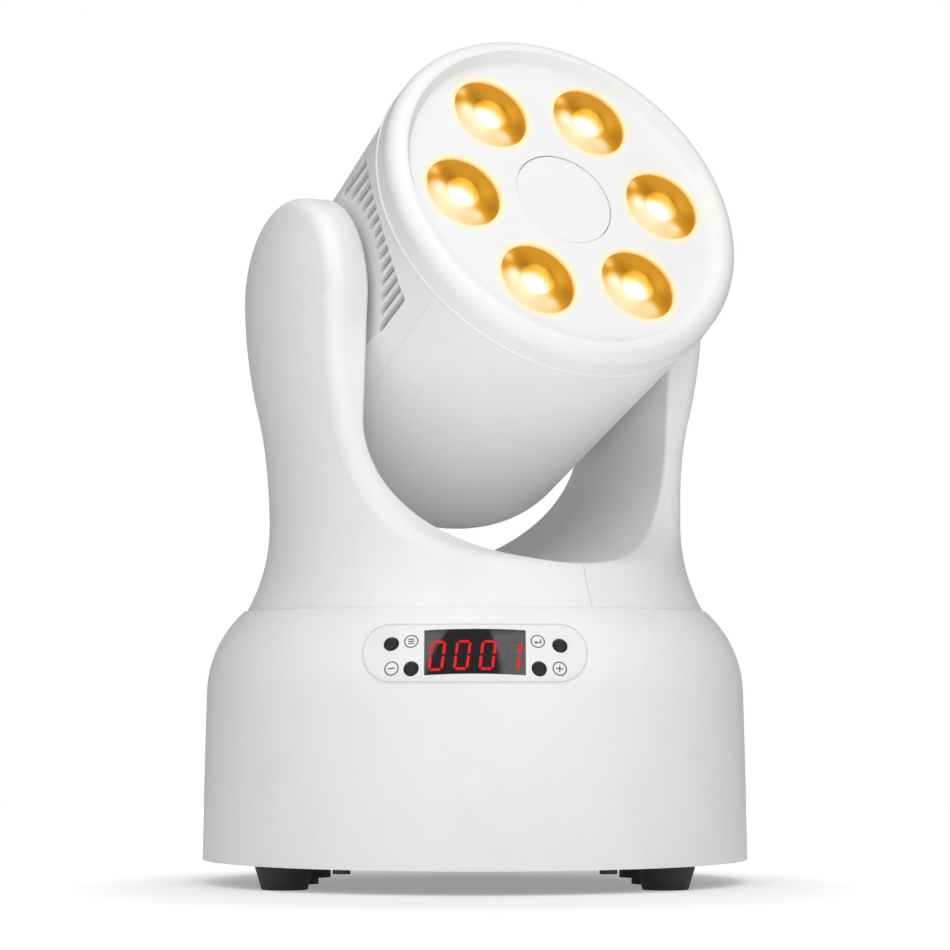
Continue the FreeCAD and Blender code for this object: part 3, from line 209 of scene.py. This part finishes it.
def metal(name, color, roughness):
    """Rolled or turned metal: fine lines one way and uneven gloss."""
    graph = Graph(name)
    lines = graph.noise(420.0, 3.0, stretch=(1.0, 1.0, 14.0))
    patches = graph.noise(70.0, 3.0)
    shade = graph.mix(graph.spread(patches, 0.35, 0.7, 0.0, 1.0), color, scaled(color, 0.8))
    gloss = graph.spread(lines, 0.3, 0.7, roughness - 0.06, roughness + 0.1)
    normal = graph.bump(lines, 0.02 * MM, 0.5)
    return graph.set(Base_Color=shade, Roughness=gloss, Normal=normal, Metallic=1.0)


def powder_coat(name, level, roughness):
    """Baked powder paint, with its orange-peel surface."""
    graph = Graph(name)
    orange_peel = graph.noise(900.0)
    patches = graph.noise(60.0, 3.0)
    shade = graph.mix(graph.spread(patches, 0.4, 0.7, 0.0, 1.0), grey(level), grey(level * 1.6))
    gloss = graph.spread(patches, 0.3, 0.7, roughness - 0.05, roughness + 0.08)
    return graph.set(Base_Color=shade, Roughness=gloss, Normal=graph.bump(orange_peel, 0.05 * MM, 0.6))


def circuit(name, color, trace):
    """A solder-masked board: thin traces under the mask."""
    graph = Graph(name)
    cells = graph.node("ShaderNodeTexVoronoi", feature="DISTANCE_TO_EDGE")
    graph.feed(cells.inputs["Vector"], graph.place)
    graph.feed(cells.inputs["Scale"], 260.0)
    line = graph.spread(cells.outputs["Distance"], 0.03, 0.07, 1.0, 0.0)
    gloss = graph.spread(graph.noise(90.0), 0.3, 0.7, 0.28, 0.42)
    normal = graph.bump(line, 0.03 * MM, 0.5)
    return graph.set(Base_Color=graph.mix(line, color, trace), Roughness=gloss, Normal=normal)


def smoked_window(name):
    """Polished smoked acrylic: nearly black, with faint hairline scratches."""
    graph = Graph(name)
    hairs = graph.noise(160.0, stretch=(1.0, 20.0, 20.0))
    gloss = graph.spread(hairs, 0.55, 0.8, 0.03, 0.12)
    tones = [(0.3, (0.003, 0.003, 0.003)), (0.8, (0.006, 0.0055, 0.006))]
    return graph.set(Base_Color=graph.ramp(graph.noise(50.0, 3.0), tones), Roughness=gloss, IOR=1.8)


def ink(name, level):
    """Screen-printed ink: an even matt film with a slightly ragged gloss."""
    graph = Graph(name)
    speckle = graph.noise(3000.0)
    shade = graph.mix(graph.spread(speckle, 0.35, 0.75, 0.0, 1.0), grey(level), grey(level * 1.35))
    gloss = graph.spread(speckle, 0.3, 0.7, 0.4, 0.55)
    return graph.set(Base_Color=shade, Roughness=gloss, Normal=graph.bump(speckle, 0.01 * MM, 0.4))


def lit_segment(name):
    """A lit display bar seen through the polished window."""
    graph = Graph(name)
    diffuser = graph.noise(1800.0)
    light = graph.ramp(diffuser, [(0.3, (0.94, 0.01, 0.018)), (0.7, (1.0, 0.02, 0.03))])
    return graph.set(Base_Color=(0.01, 0.0, 0.0), Emission_Color=light, Emission_Strength=1.0,
                     Roughness=graph.spread(diffuser, 0.3, 0.7, 0.3, 0.4), Specular_IOR_Level=0.05)


def dark_segment(name):
    """An unlit display bar, which barely shows in the window."""
    graph = Graph(name)
    diffuser = graph.noise(1800.0)
    shade = graph.ramp(diffuser, [(0.3, (0.008, 0.006, 0.006)), (0.7, (0.012, 0.009, 0.009))])
    return graph.set(Base_Color=shade, Roughness=graph.spread(diffuser, 0.3, 0.7, 0.05, 0.12), IOR=1.74)


# ---- lit lenses ---------------------------------------------------------------------------------

LENS_RADIUS = 12.75 * MM
# Painted light: the warm glow on the bezel round each lens hole, as its width, falloff, colour tint and emitted
# light.
PAINTED_GLOW_WIDTH = 3.4 * MM
PAINTED_GLOW_FALL = 1.8
PAINTED_GLOW_TINT = (0.9, 0.76, 0.42)
PAINTED_GLOW_LIGHT = (0.25, 0.13, 0.0)
BEAD_PITCH = 0.78
BEAD_MEAN = 0.42
BEAD_CONTRAST = 0.95
# The smooth round middle of a lens: full inside the first radius and gone by the second, in
# millimetres, and how much brighter it is.
CORE_EDGES = (5.0, 6.0)
CORE_LIFT = 0.2
# A painted highlight that grows toward the lower left of each lens, as the lit lens looks from one side: where it
# starts and ends, as across plus up in millimetres, and how strong it gets.
PAINTED_SWEEP_EDGES = (-2.0, -15.5)
PAINTED_SWEEP_LIFT = 0.46
GLOW_FLOOR = 0.4
GLOW_STRENGTH = 0.92
GLOW_STOPS = [
    (0.0, (0.06, 0.015, 0.0)),
    (0.2, (0.27, 0.1, 0.003)),
    (0.4, (0.56, 0.25, 0.01)),
    (0.55, (0.8, 0.37, 0.016)),
    (0.7, (0.9, 0.56, 0.1)),
    (0.85, (0.965, 0.8, 0.48)),
    (1.0, (1.0, 0.99, 0.95)),
]
# Soft spots on a lit lens, in millimetres from its middle: across and up, their sizes, their weight.
# A positive weight is a painted highlight or reflection, and a negative weight is painted shade.
PAINTED_SPOTS = [
    ((-2.6, -2.8), (3.5, 3.1), 0.62),
    ((-8.3, 1.4), (1.5, 2.1), 0.5),
    ((2.6, -8.7), (1.8, 1.5), 0.34),
    ((-8.3, 8.6), (1.5, 1.6), 0.34),
    ((8.6, 0.4), (1.4, 2.4), 0.1),
    ((-4.6, 7.0), (2.6, 2.4), -0.12),
    ((-10.4, 4.6), (1.5, 1.8), -0.14),
    ((9.4, -4.6), (2.2, 3.0), -0.12),
    ((-2.6, 4.6), (1.6, 1.0), -0.14),
    ((5.0, 1.4), (0.8, 1.8), -0.16),
]


def glow(graph, x, y, at, size):
    """A soft round spot for the painted highlights and painted shade on a lens: at and size are in millimetres,
    across and up.
    """
    across = graph.math("DIVIDE", graph.math("SUBTRACT", x, at[0]), size[0])
    up = graph.math("DIVIDE", graph.math("SUBTRACT", y, at[1]), size[1])
    square = graph.math("ADD", graph.math("MULTIPLY", across, across), graph.math("MULTIPLY", up, up))
    return graph.math("EXPONENT", graph.math("MULTIPLY", square, -0.5))


def honeycomb(graph, x, y, pitch):
    """Round beads in a hexagonal pattern: 1 on each bead's top, 0 between the beads."""
    wave = 4 * math.pi / (math.sqrt(3) * pitch)
    total = 1.5
    for turn in (0.0, math.pi / 3, 2 * math.pi / 3):
        way = graph.math("MULTIPLY", x, wave * math.cos(turn))
        way = graph.math("MULTIPLY_ADD", y, wave * math.sin(turn), way)
        total = graph.math("ADD", graph.math("COSINE", way), total)
    return graph.math("DIVIDE", total, 4.5)


def lit_lens(name, centre):
    """A beaded collimator lens with a hot source in its middle. Its glow is the lamp's own light; the lower-left
    sweep and the spots on it are painted highlights and painted shade, the same on every lens.
    """
    graph = Graph(name)
    offset = graph.vector("SUBTRACT", graph.place, tuple(centre))
    x = graph.vector("DOT_PRODUCT", offset, tuple(-LEFT / MM))
    y = graph.vector("DOT_PRODUCT", offset, tuple(RISE / MM))
    reach = graph.vector("LENGTH", graph.fed("ShaderNodeCombineXYZ", (x, y)).outputs[0])
    core = graph.spread(reach, *CORE_EDGES, 1.0, 0.0)
    # Painted highlight: the lens is brighter toward its lower left.
    painted_sweep = graph.spread(graph.math("ADD", x, y), *PAINTED_SWEEP_EDGES, 0.0, PAINTED_SWEEP_LIFT)
    total = graph.math("MULTIPLY_ADD", core, CORE_LIFT, graph.math("ADD", painted_sweep, GLOW_FLOOR))
    # Painted highlights and painted shade: the soft spots.
    for at, size, weight in PAINTED_SPOTS:
        total = graph.math("MULTIPLY_ADD", glow(graph, x, y, at, size), weight, total)
    bead = honeycomb(graph, x, y, BEAD_PITCH)
    beaded = graph.math("SUBTRACT", 1.0, core)
    contrast = graph.math("SUBTRACT", bead, BEAD_MEAN)
    contrast = graph.math("MULTIPLY", contrast, graph.math("MULTIPLY", beaded, BEAD_CONTRAST))
    total = graph.math("MULTIPLY", total, graph.math("ADD", contrast, 1.0), clamp=True)
    light = graph.ramp(total, GLOW_STOPS)
    # The glow pattern, with its painted highlights and shade, is painted into the lens's colour as well.
    tint = graph.mix(0.75, light, (0.05, 0.02, 0.0))
    normal = graph.bump(graph.math("MULTIPLY", bead, beaded), 0.1 * MM, 0.5)
    return graph.set(Base_Color=tint, Emission_Color=light, Emission_Strength=GLOW_STRENGTH,
                     Roughness=0.22, Normal=normal, Specular_IOR_Level=0.3)


def face_with_painted_glow(name, color, roughness, centres):
    """The bezel's plastic, with a painted glow round each lens hole: the lenses' light painted into its colour and
    emission.
    """
    graph = Graph(name)
    shade, gloss = handled(graph, color, 0.97, roughness, 0.06)
    nearest = None
    for centre in centres:
        away = graph.vector("DISTANCE", graph.place, tuple(centre))
        nearest = away if nearest is None else graph.math("MINIMUM", nearest, away)
    # Painted light: near each lens the bezel is tinted warm and made to glow, a painted pool of the lenses' light.
    painted_glow = graph.spread(nearest, LENS_RADIUS, LENS_RADIUS + PAINTED_GLOW_WIDTH, 1.0, 0.0)
    painted_glow = graph.math("POWER", painted_glow, PAINTED_GLOW_FALL)
    return graph.set(Base_Color=graph.mix(painted_glow, shade, PAINTED_GLOW_TINT), Emission_Strength=1.0,
                     Emission_Color=graph.mix(painted_glow, BLACK, PAINTED_GLOW_LIGHT), Roughness=gloss,
                     Normal=graph.bump(graph.noise(1500.0), 0.015 * MM, 0.5), IOR=PLASTIC_IOR)


# ---- materials on the frame's parts -------------------------------------------------------------

LENSES = [f"lens_{index}" for index in range(1, 7)]
FACE = max((spot - PIVOT).dot(BEAM) for spot in spots_of(LENSES[0]))


def lens_centre(node):
    """The middle of a lens's front, from its mesh."""
    spots = [spot - PIVOT for spot in spots_of(node)]
    across = middle([spot.dot(LEFT) for spot in spots])
    up = middle([spot.dot(RISE) for spot in spots])
    return PIVOT + LEFT * across + RISE * up + BEAM * FACE


CENTRES = {node: lens_centre(node) for node in LENSES}

finishes = {
    "shell_white": moulded("shell_white", (0.88, 0.88, 0.876), 0.34),
    "label_film": moulded("label_film", (0.84, 0.84, 0.84), 0.28, grain=0.004),
    "display_glass": smoked_window("display_glass"),
    "button_black": rubber("button_black", 0.012, 0.42),
    "foot_rubber": rubber("foot_rubber", 0.012, 0.55),
    "black_metal": powder_coat("black_metal", 0.02, 0.45),
    "zinc_steel": metal("zinc_steel", (0.62, 0.63, 0.64), 0.34),
    "dark_steel": metal("dark_steel", (0.08, 0.08, 0.085), 0.38),
    "black_plastic": moulded("black_plastic", (0.018, 0.018, 0.019), 0.42, grain=0.03),
    "socket_metal": metal("socket_metal", (0.55, 0.55, 0.54), 0.3),
    "circuit_green": circuit("circuit_green", (0.012, 0.09, 0.03), (0.03, 0.17, 0.06)),
    "circuit_white": circuit("circuit_white", (0.75, 0.75, 0.73), (0.62, 0.62, 0.6)),
    "heat_sink_metal": metal("heat_sink_metal", (0.7, 0.71, 0.72), 0.4),
    "motor_black": powder_coat("motor_black", 0.03, 0.4),
    "belt_rubber": rubber("belt_rubber", 0.014, 0.6),
    "pulley_metal": metal("pulley_metal", (0.68, 0.68, 0.69), 0.3),
    "bezel_white": face_with_painted_glow("bezel_white", (0.85, 0.85, 0.845), 0.36, CENTRES.values()),
}
for entry in frame["record"]["subparts"]:
    node, slot = entry["node"], entry["material_slot"]
    finish = lit_lens(f"{node}_glow", CENTRES[node]) if node in CENTRES else finishes[slot]
    nodes[node].data.materials.clear()
    nodes[node].data.materials.append(finish)

# ---- printed panel and lit digits ----------------------------------------------------------------

# Sizes in this section are in millimetres.
PRINT_LIFT = 0.03
LINE = 0.35
OUTLINE_INSET = 0.3
OUTLINE_HALF = 0.16
RING_RADIUS = 2.07
ICONS = {"menu": (-19.8, 3.9), "less": (-25.9, -4.55), "enter": (19.5, 3.85), "more": (26.3, -4.55)}
MENU_HALF = 0.95
MENU_STEP = 0.72
SIGN_HALF = 1.1
ARROW_RIGHT = 0.95
ARROW_TOP = 0.85
ARROW_FOOT = -0.6
ARROW_LOW = -0.45
ARROW_TAIL = -0.6
ARROW_BACK = -0.35
ARROW_TIP = -1.15
ARROW_HALF = 0.6
DIGIT_PITCH = 7.85
DIGIT_HALF_WIDTH = 1.95
DIGIT_HALF_HEIGHT = 4.5
DIGIT_SLANT = 0.12
DIGIT_DROP = 1.37
BAR_HALF = 0.42
BAR_TIP = 0.02
BAR_GAP = 0.22
READOUT = "0001"
CORNERS = {"a": ((-1, 1), (1, 1)), "b": ((1, 1), (1, 0)), "c": ((1, 0), (1, -1)), "d": ((1, -1), (-1, -1)),
           "e": ((-1, -1), (-1, 0)), "f": ((-1, 0), (-1, 1)), "g": ((-1, 0), (1, 0))}
LIT_BARS = {"0": "abcdef", "1": "bc"}


def panel_centre():
    """The middle of the display window, in the panel's own directions."""
    spots = spots_of("display_window")
    across = middle([spot.dot(ACROSS) for spot in spots])
    up = middle([spot.dot(UP) for spot in spots])
    return ACROSS * across + UP * up + PRESS * min(spot.dot(PRESS) for spot in spots)


def surface_of(node):
    polygons = [tuple(polygon.vertices) for polygon in nodes[node].data.polygons]
    return BVHTree.FromPolygons(spots_of(node), polygons)


PANEL = panel_centre()
SURFACES = {node: surface_of(node) for node in ("control_label", "display_window")}


def above(node, start, way):
    """The point just above a node's surface where a ray from start meets it."""
    spot, normal = SURFACES[node].ray_cast(start, way)[:2]
    if normal.dot(way) > 0:
        normal = -normal
    return spot + normal * PRINT_LIFT * MM


def on_panel(node, x, y):
    """A place on the panel, measured from the window's middle and square to the panel."""
    return above(node, PANEL + (ACROSS * x + UP * y) * MM - PRESS * 20 * MM, PRESS)


def from_front(node, x, z):
    """A place seen straight from the front, measured across and up from the frame's origin."""
    return above(node, Vector((x * MM, -120 * MM, z * MM)), Vector((0.0, 1.0, 0.0)))


def strip(place, node, path, halves):
    """A printed stroke's corners and faces: path is its middle line, and halves its half widths."""
    corners = []
    last = len(path) - 1
    closed = math.dist(path[0], path[last]) < 0.01
    for index, (x, y) in enumerate(path):
        before = path[index - 1] if index else (path[last - 1] if closed else path[0])
        after = path[index + 1] if index < last else (path[1] if closed else path[last])
        turn = math.atan2(after[1] - before[1], after[0] - before[0])
        half = halves[index] if isinstance(halves, list) else halves
        for side in (half, -half):
            corners.append(place(node, x - side * math.sin(turn), y + side * math.cos(turn)))
    faces = [(2 * step, 2 * step + 2, 2 * step + 3, 2 * step + 1) for step in range(last)]
    return corners, faces


def printed(name, node, strokes, material, place=on_panel):
    """One mesh of printed strokes on the panel: it rides on the base."""
    corners, faces = [], []
    for path, halves in strokes:
        more, sides = strip(place, node, path, halves)
        faces += [tuple(len(corners) + index for index in side) for side in sides]
        corners += more
    mesh = bpy.data.meshes.new(name)
    mesh.from_pydata(corners, [], faces)
    mesh.materials.append(material)
    piece = bpy.data.objects.new(name, mesh)
    bpy.context.scene.collection.objects.link(piece)
    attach(piece, "base")


def arc(x, y, radius, start, stop, steps=24):
    """Points on an arc, from one angle to another in degrees."""
    turns = [math.radians(start + (stop - start) * step / steps) for step in range(steps + 1)]
    return [(x + radius * math.cos(turn), y + radius * math.sin(turn)) for turn in turns]


def line(start, stop, steps=6):
    return [tuple(a + (b - a) * step / steps for a, b in zip(start, stop)) for step in range(steps + 1)]


def panel_outline():
    """The fine grey line just inside the label's rim."""
    low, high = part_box("control_label")
    half = (high.x - low.x) / 2 / MM - OUTLINE_INSET
    end = (high.z - low.z) / 2 / MM - OUTLINE_INSET
    height = (high.z + low.z) / 2 / MM
    flat = half - end
    path = arc(flat, height, end, -90, 90) + line((flat, height + end), (-flat, height + end), 40)[1:]
    path += arc(-flat, height, end, 90, 270)[1:] + line((-flat, height - end), (flat, height - end), 40)[1:]
    finish = ink("outline_ink", 0.55)
    printed("panel_outline", "control_label", [(path, OUTLINE_HALF)], finish, from_front)


def sign(icon, start, stop):
    """A straight stroke of an icon, between two points measured from its middle."""
    x, y = ICONS[icon]
    return line((x + start[0], y + start[1]), (x + stop[0], y + stop[1])), LINE / 2


def icons():
    """A ring beside each button, with a generic sign in it."""
    strokes = [(arc(x, y, RING_RADIUS, 0, 360, 40), LINE / 2) for x, y in ICONS.values()]
    strokes += [sign("menu", (-MENU_HALF, step), (MENU_HALF, step)) for step in (-MENU_STEP, 0.0, MENU_STEP)]
    strokes += [sign(icon, (-SIGN_HALF, 0.0), (SIGN_HALF, 0.0)) for icon in ("less", "more")]
    strokes.append(sign("more", (0.0, -SIGN_HALF), (0.0, SIGN_HALF)))
    strokes.append(sign("enter", (ARROW_RIGHT, ARROW_TOP), (ARROW_RIGHT, ARROW_FOOT)))
    strokes.append(sign("enter", (ARROW_RIGHT + LINE / 2, ARROW_LOW), (ARROW_TAIL, ARROW_LOW)))
    x, y = ICONS["enter"]
    head = line((x + ARROW_TIP, y + ARROW_LOW), (x + ARROW_BACK, y + ARROW_LOW), 2)
    strokes.append((head, [0.0, ARROW_HALF / 2, ARROW_HALF]))
    printed("panel_icons", "control_label", strokes, ink("icon_ink", 0.045))


def bar(column, name):
    """A display bar with pointed ends, as its middle line and half widths."""
    ends = [(across * DIGIT_HALF_WIDTH, up * DIGIT_HALF_HEIGHT) for across, up in CORNERS[name]]
    (x0, y0), (x1, y1) = ends
    length = math.dist(*ends)
    stops = [BAR_GAP, BAR_GAP + BAR_HALF, length / 2, length - BAR_GAP - BAR_HALF, length - BAR_GAP]
    left = (column - (len(READOUT) - 1) / 2) * DIGIT_PITCH
    path = []
    for stop in stops:
        x, y = x0 + (x1 - x0) * stop / length, y0 + (y1 - y0) * stop / length
        path.append((left + x + y * DIGIT_SLANT, y - DIGIT_DROP))
    return path, [BAR_TIP, BAR_HALF, BAR_HALF, BAR_HALF, BAR_TIP]


def digits():
    """Four seven-bar digits in the window, lit to show a plain number."""
    for lit, name, material in ((True, "digits_lit", lit_segment("digits_lit")),
                                (False, "digits_unlit", dark_segment("digits_unlit"))):
        strokes = []
        for column, digit in enumerate(READOUT):
            strokes += [bar(column, key) for key in CORNERS if (key in LIT_BARS[digit]) == lit]
        printed(name, "display_window", strokes, material)


panel_outline()
icons()
digits()

# ---- studio -------------------------------------------------------------------------------------

AIM = (0.0, 0.0, 0.12)
AMBIENT = 0.23
CARD = 1.2
# The two tall pale cards in front: the turns of their edges from straight ahead, in radians, how
# high they reach as the height of a unit direction, and how soft their edges are.
CARD_TURNS = ((-1.05, -0.35), (0.18, 0.97))
CARD_RISE = (0.28, 0.95)
CARD_SIDE_EDGE = 0.05
CARD_TOP_EDGE = 0.08
# Large soft lights that glossy surfaces don't mirror: place, target, size, power in watts.
LIGHTS = {
    "overhead": ((0.1, -0.25, 1.4), AIM, (1.2, 1.0), 9.0),
    "front_fill": ((0.0, -1.5, 0.35), AIM, (0.5, 0.8), 3.5),
    "table_bounce": ((0.1, -0.7, 0.004), (0.1, -0.7, 1.0), (0.6, 0.7), 3.0),
}
FLOOR_RADIUS = 0.8
FLOOR_SIDES = 96
PAPER = 0.62
PAPER_MOTTLE = 0.01
# The paper's own light: close to the object and far from it for the camera, and as a light. For the camera it is
# weaker near the object, a painted shadow round the base, and full white farther out, which paints out the real
# shadows there.
PAPER_LIFT = (0.3, 1.0)
PAPER_GLOW = 0.24
# Where the painted shadow on the paper is centred, and the distances in metres over which it fades out.
PAINTED_SHADOW_CENTRE = (0.0, -0.06, 0.0)
PAINTED_SHADOW_EDGES = (0.06, 0.26)
FOCAL_LENGTH = 143.18
SENSOR_WIDTH = 36.0
EYE = (0.0, -1.2579, 0.06454)
LOOK_UP = 3.196


def area_light(name, place, target, size, power):
    data = bpy.data.lights.new(name, "AREA")
    data.shape = "RECTANGLE"
    data.size, data.size_y = size
    data.energy = power
    lamp = bpy.data.objects.new(name, data)
    lamp.visible_camera = False
    lamp.visible_glossy = False
    lamp.location = place
    lamp.rotation_euler = (Vector(target) - Vector(place)).to_track_quat("-Z", "Y").to_euler()
    bpy.context.scene.collection.objects.link(lamp)


def surroundings():
    """White for the camera; as a light, soft grey with two tall bright cards in front."""
    world = bpy.data.worlds.new("studio")
    world.use_nodes = True
    tree = Tree(world.node_tree)

    def band(value, low, high, soft):
        """1 between two limits with soft edges, 0 outside them."""
        rise = tree.spread(value, low, low + soft, 0.0, 1.0)
        return tree.math("MULTIPLY", rise, tree.spread(value, high, high - soft, 0.0, 1.0))

    direction = tree.node("ShaderNodeTexCoord").outputs["Generated"]
    x, y, z = tree.fed("ShaderNodeSeparateXYZ", (direction,)).outputs
    turn = tree.math("ARCTAN2", x, tree.math("MULTIPLY", y, -1.0))
    cards = tree.math("ADD", *(band(turn, *edges, CARD_SIDE_EDGE) for edges in CARD_TURNS))
    cards = tree.math("MULTIPLY", cards, band(z, *CARD_RISE, CARD_TOP_EDGE))
    light = tree.fed("ShaderNodeBackground", (tree.math("MULTIPLY_ADD", cards, CARD, AMBIENT),))
    backdrop = tree.fed("ShaderNodeBackground", ((1.0, 1.0, 1.0),))
    camera_ray = tree.node("ShaderNodeLightPath").outputs["Is Camera Ray"]
    choice = tree.fed("ShaderNodeMixShader", (camera_ray, light.outputs[0], backdrop.outputs[0]))
    tree.fed("ShaderNodeOutputWorld", choice.outputs)
    bpy.context.scene.world = world


def paper_floor():
    """A round sheet of white paper that takes the cast shadow; for the camera it glows less near the object, a
    painted shadow round its base, and fades into the white backdrop farther out.
    """
    mesh = bpy.data.meshes.new("floor")
    turns = [math.tau * step / FLOOR_SIDES for step in range(FLOOR_SIDES)]
    rim = [(FLOOR_RADIUS * math.cos(turn), FLOOR_RADIUS * math.sin(turn), 0.0) for turn in turns]
    mesh.from_pydata(rim, [], [tuple(range(FLOOR_SIDES))])
    floor = bpy.data.objects.new("floor", mesh)
    bpy.context.scene.collection.objects.link(floor)
    graph = Graph("floor_paper")
    # Painted shadow: the camera's glow on the paper is weaker toward the object's base, by distance alone.
    away = graph.spread(graph.vector("DISTANCE", graph.place, PAINTED_SHADOW_CENTRE), *PAINTED_SHADOW_EDGES, 0.0, 1.0)
    smooth = graph.math("MULTIPLY_ADD", away, -2.0, 3.0)
    away = graph.math("MULTIPLY", graph.math("MULTIPLY", away, away), smooth)
    tones = [(0.0, grey(PAPER - PAPER_MOTTLE)), (1.0, grey(PAPER + PAPER_MOTTLE))]
    camera_ray = graph.node("ShaderNodeLightPath").outputs["Is Camera Ray"]
    painted_shadow_lift = graph.spread(away, 0.0, 1.0, *PAPER_LIFT)
    strength = graph.spread(camera_ray, 0.0, 1.0, PAPER_GLOW, painted_shadow_lift)
    paper = graph.set(Base_Color=graph.ramp(graph.noise(30.0, 3.0), tones), Roughness=0.9,
                      Specular_IOR_Level=0.1, Emission_Color=(1.0, 1.0, 1.0), Emission_Strength=strength)
    floor.data.materials.append(paper)


def studio():
    bpy.context.scene.view_settings.view_transform = "Standard"
    surroundings()
    paper_floor()
    for name, settings in LIGHTS.items():
        area_light(name, *settings)


def camera():
    """A long lens low in front, looking a little upwards."""
    data = bpy.data.cameras.new("camera")
    data.lens = FOCAL_LENGTH
    data.sensor_width = SENSOR_WIDTH
    lens = bpy.data.objects.new("camera", data)
    lens.location = EYE
    lens.rotation_euler = (math.radians(90 + LOOK_UP), 0.0, 0.0)
    bpy.context.scene.collection.objects.link(lens)
    bpy.context.scene.camera = lens


studio()
camera()
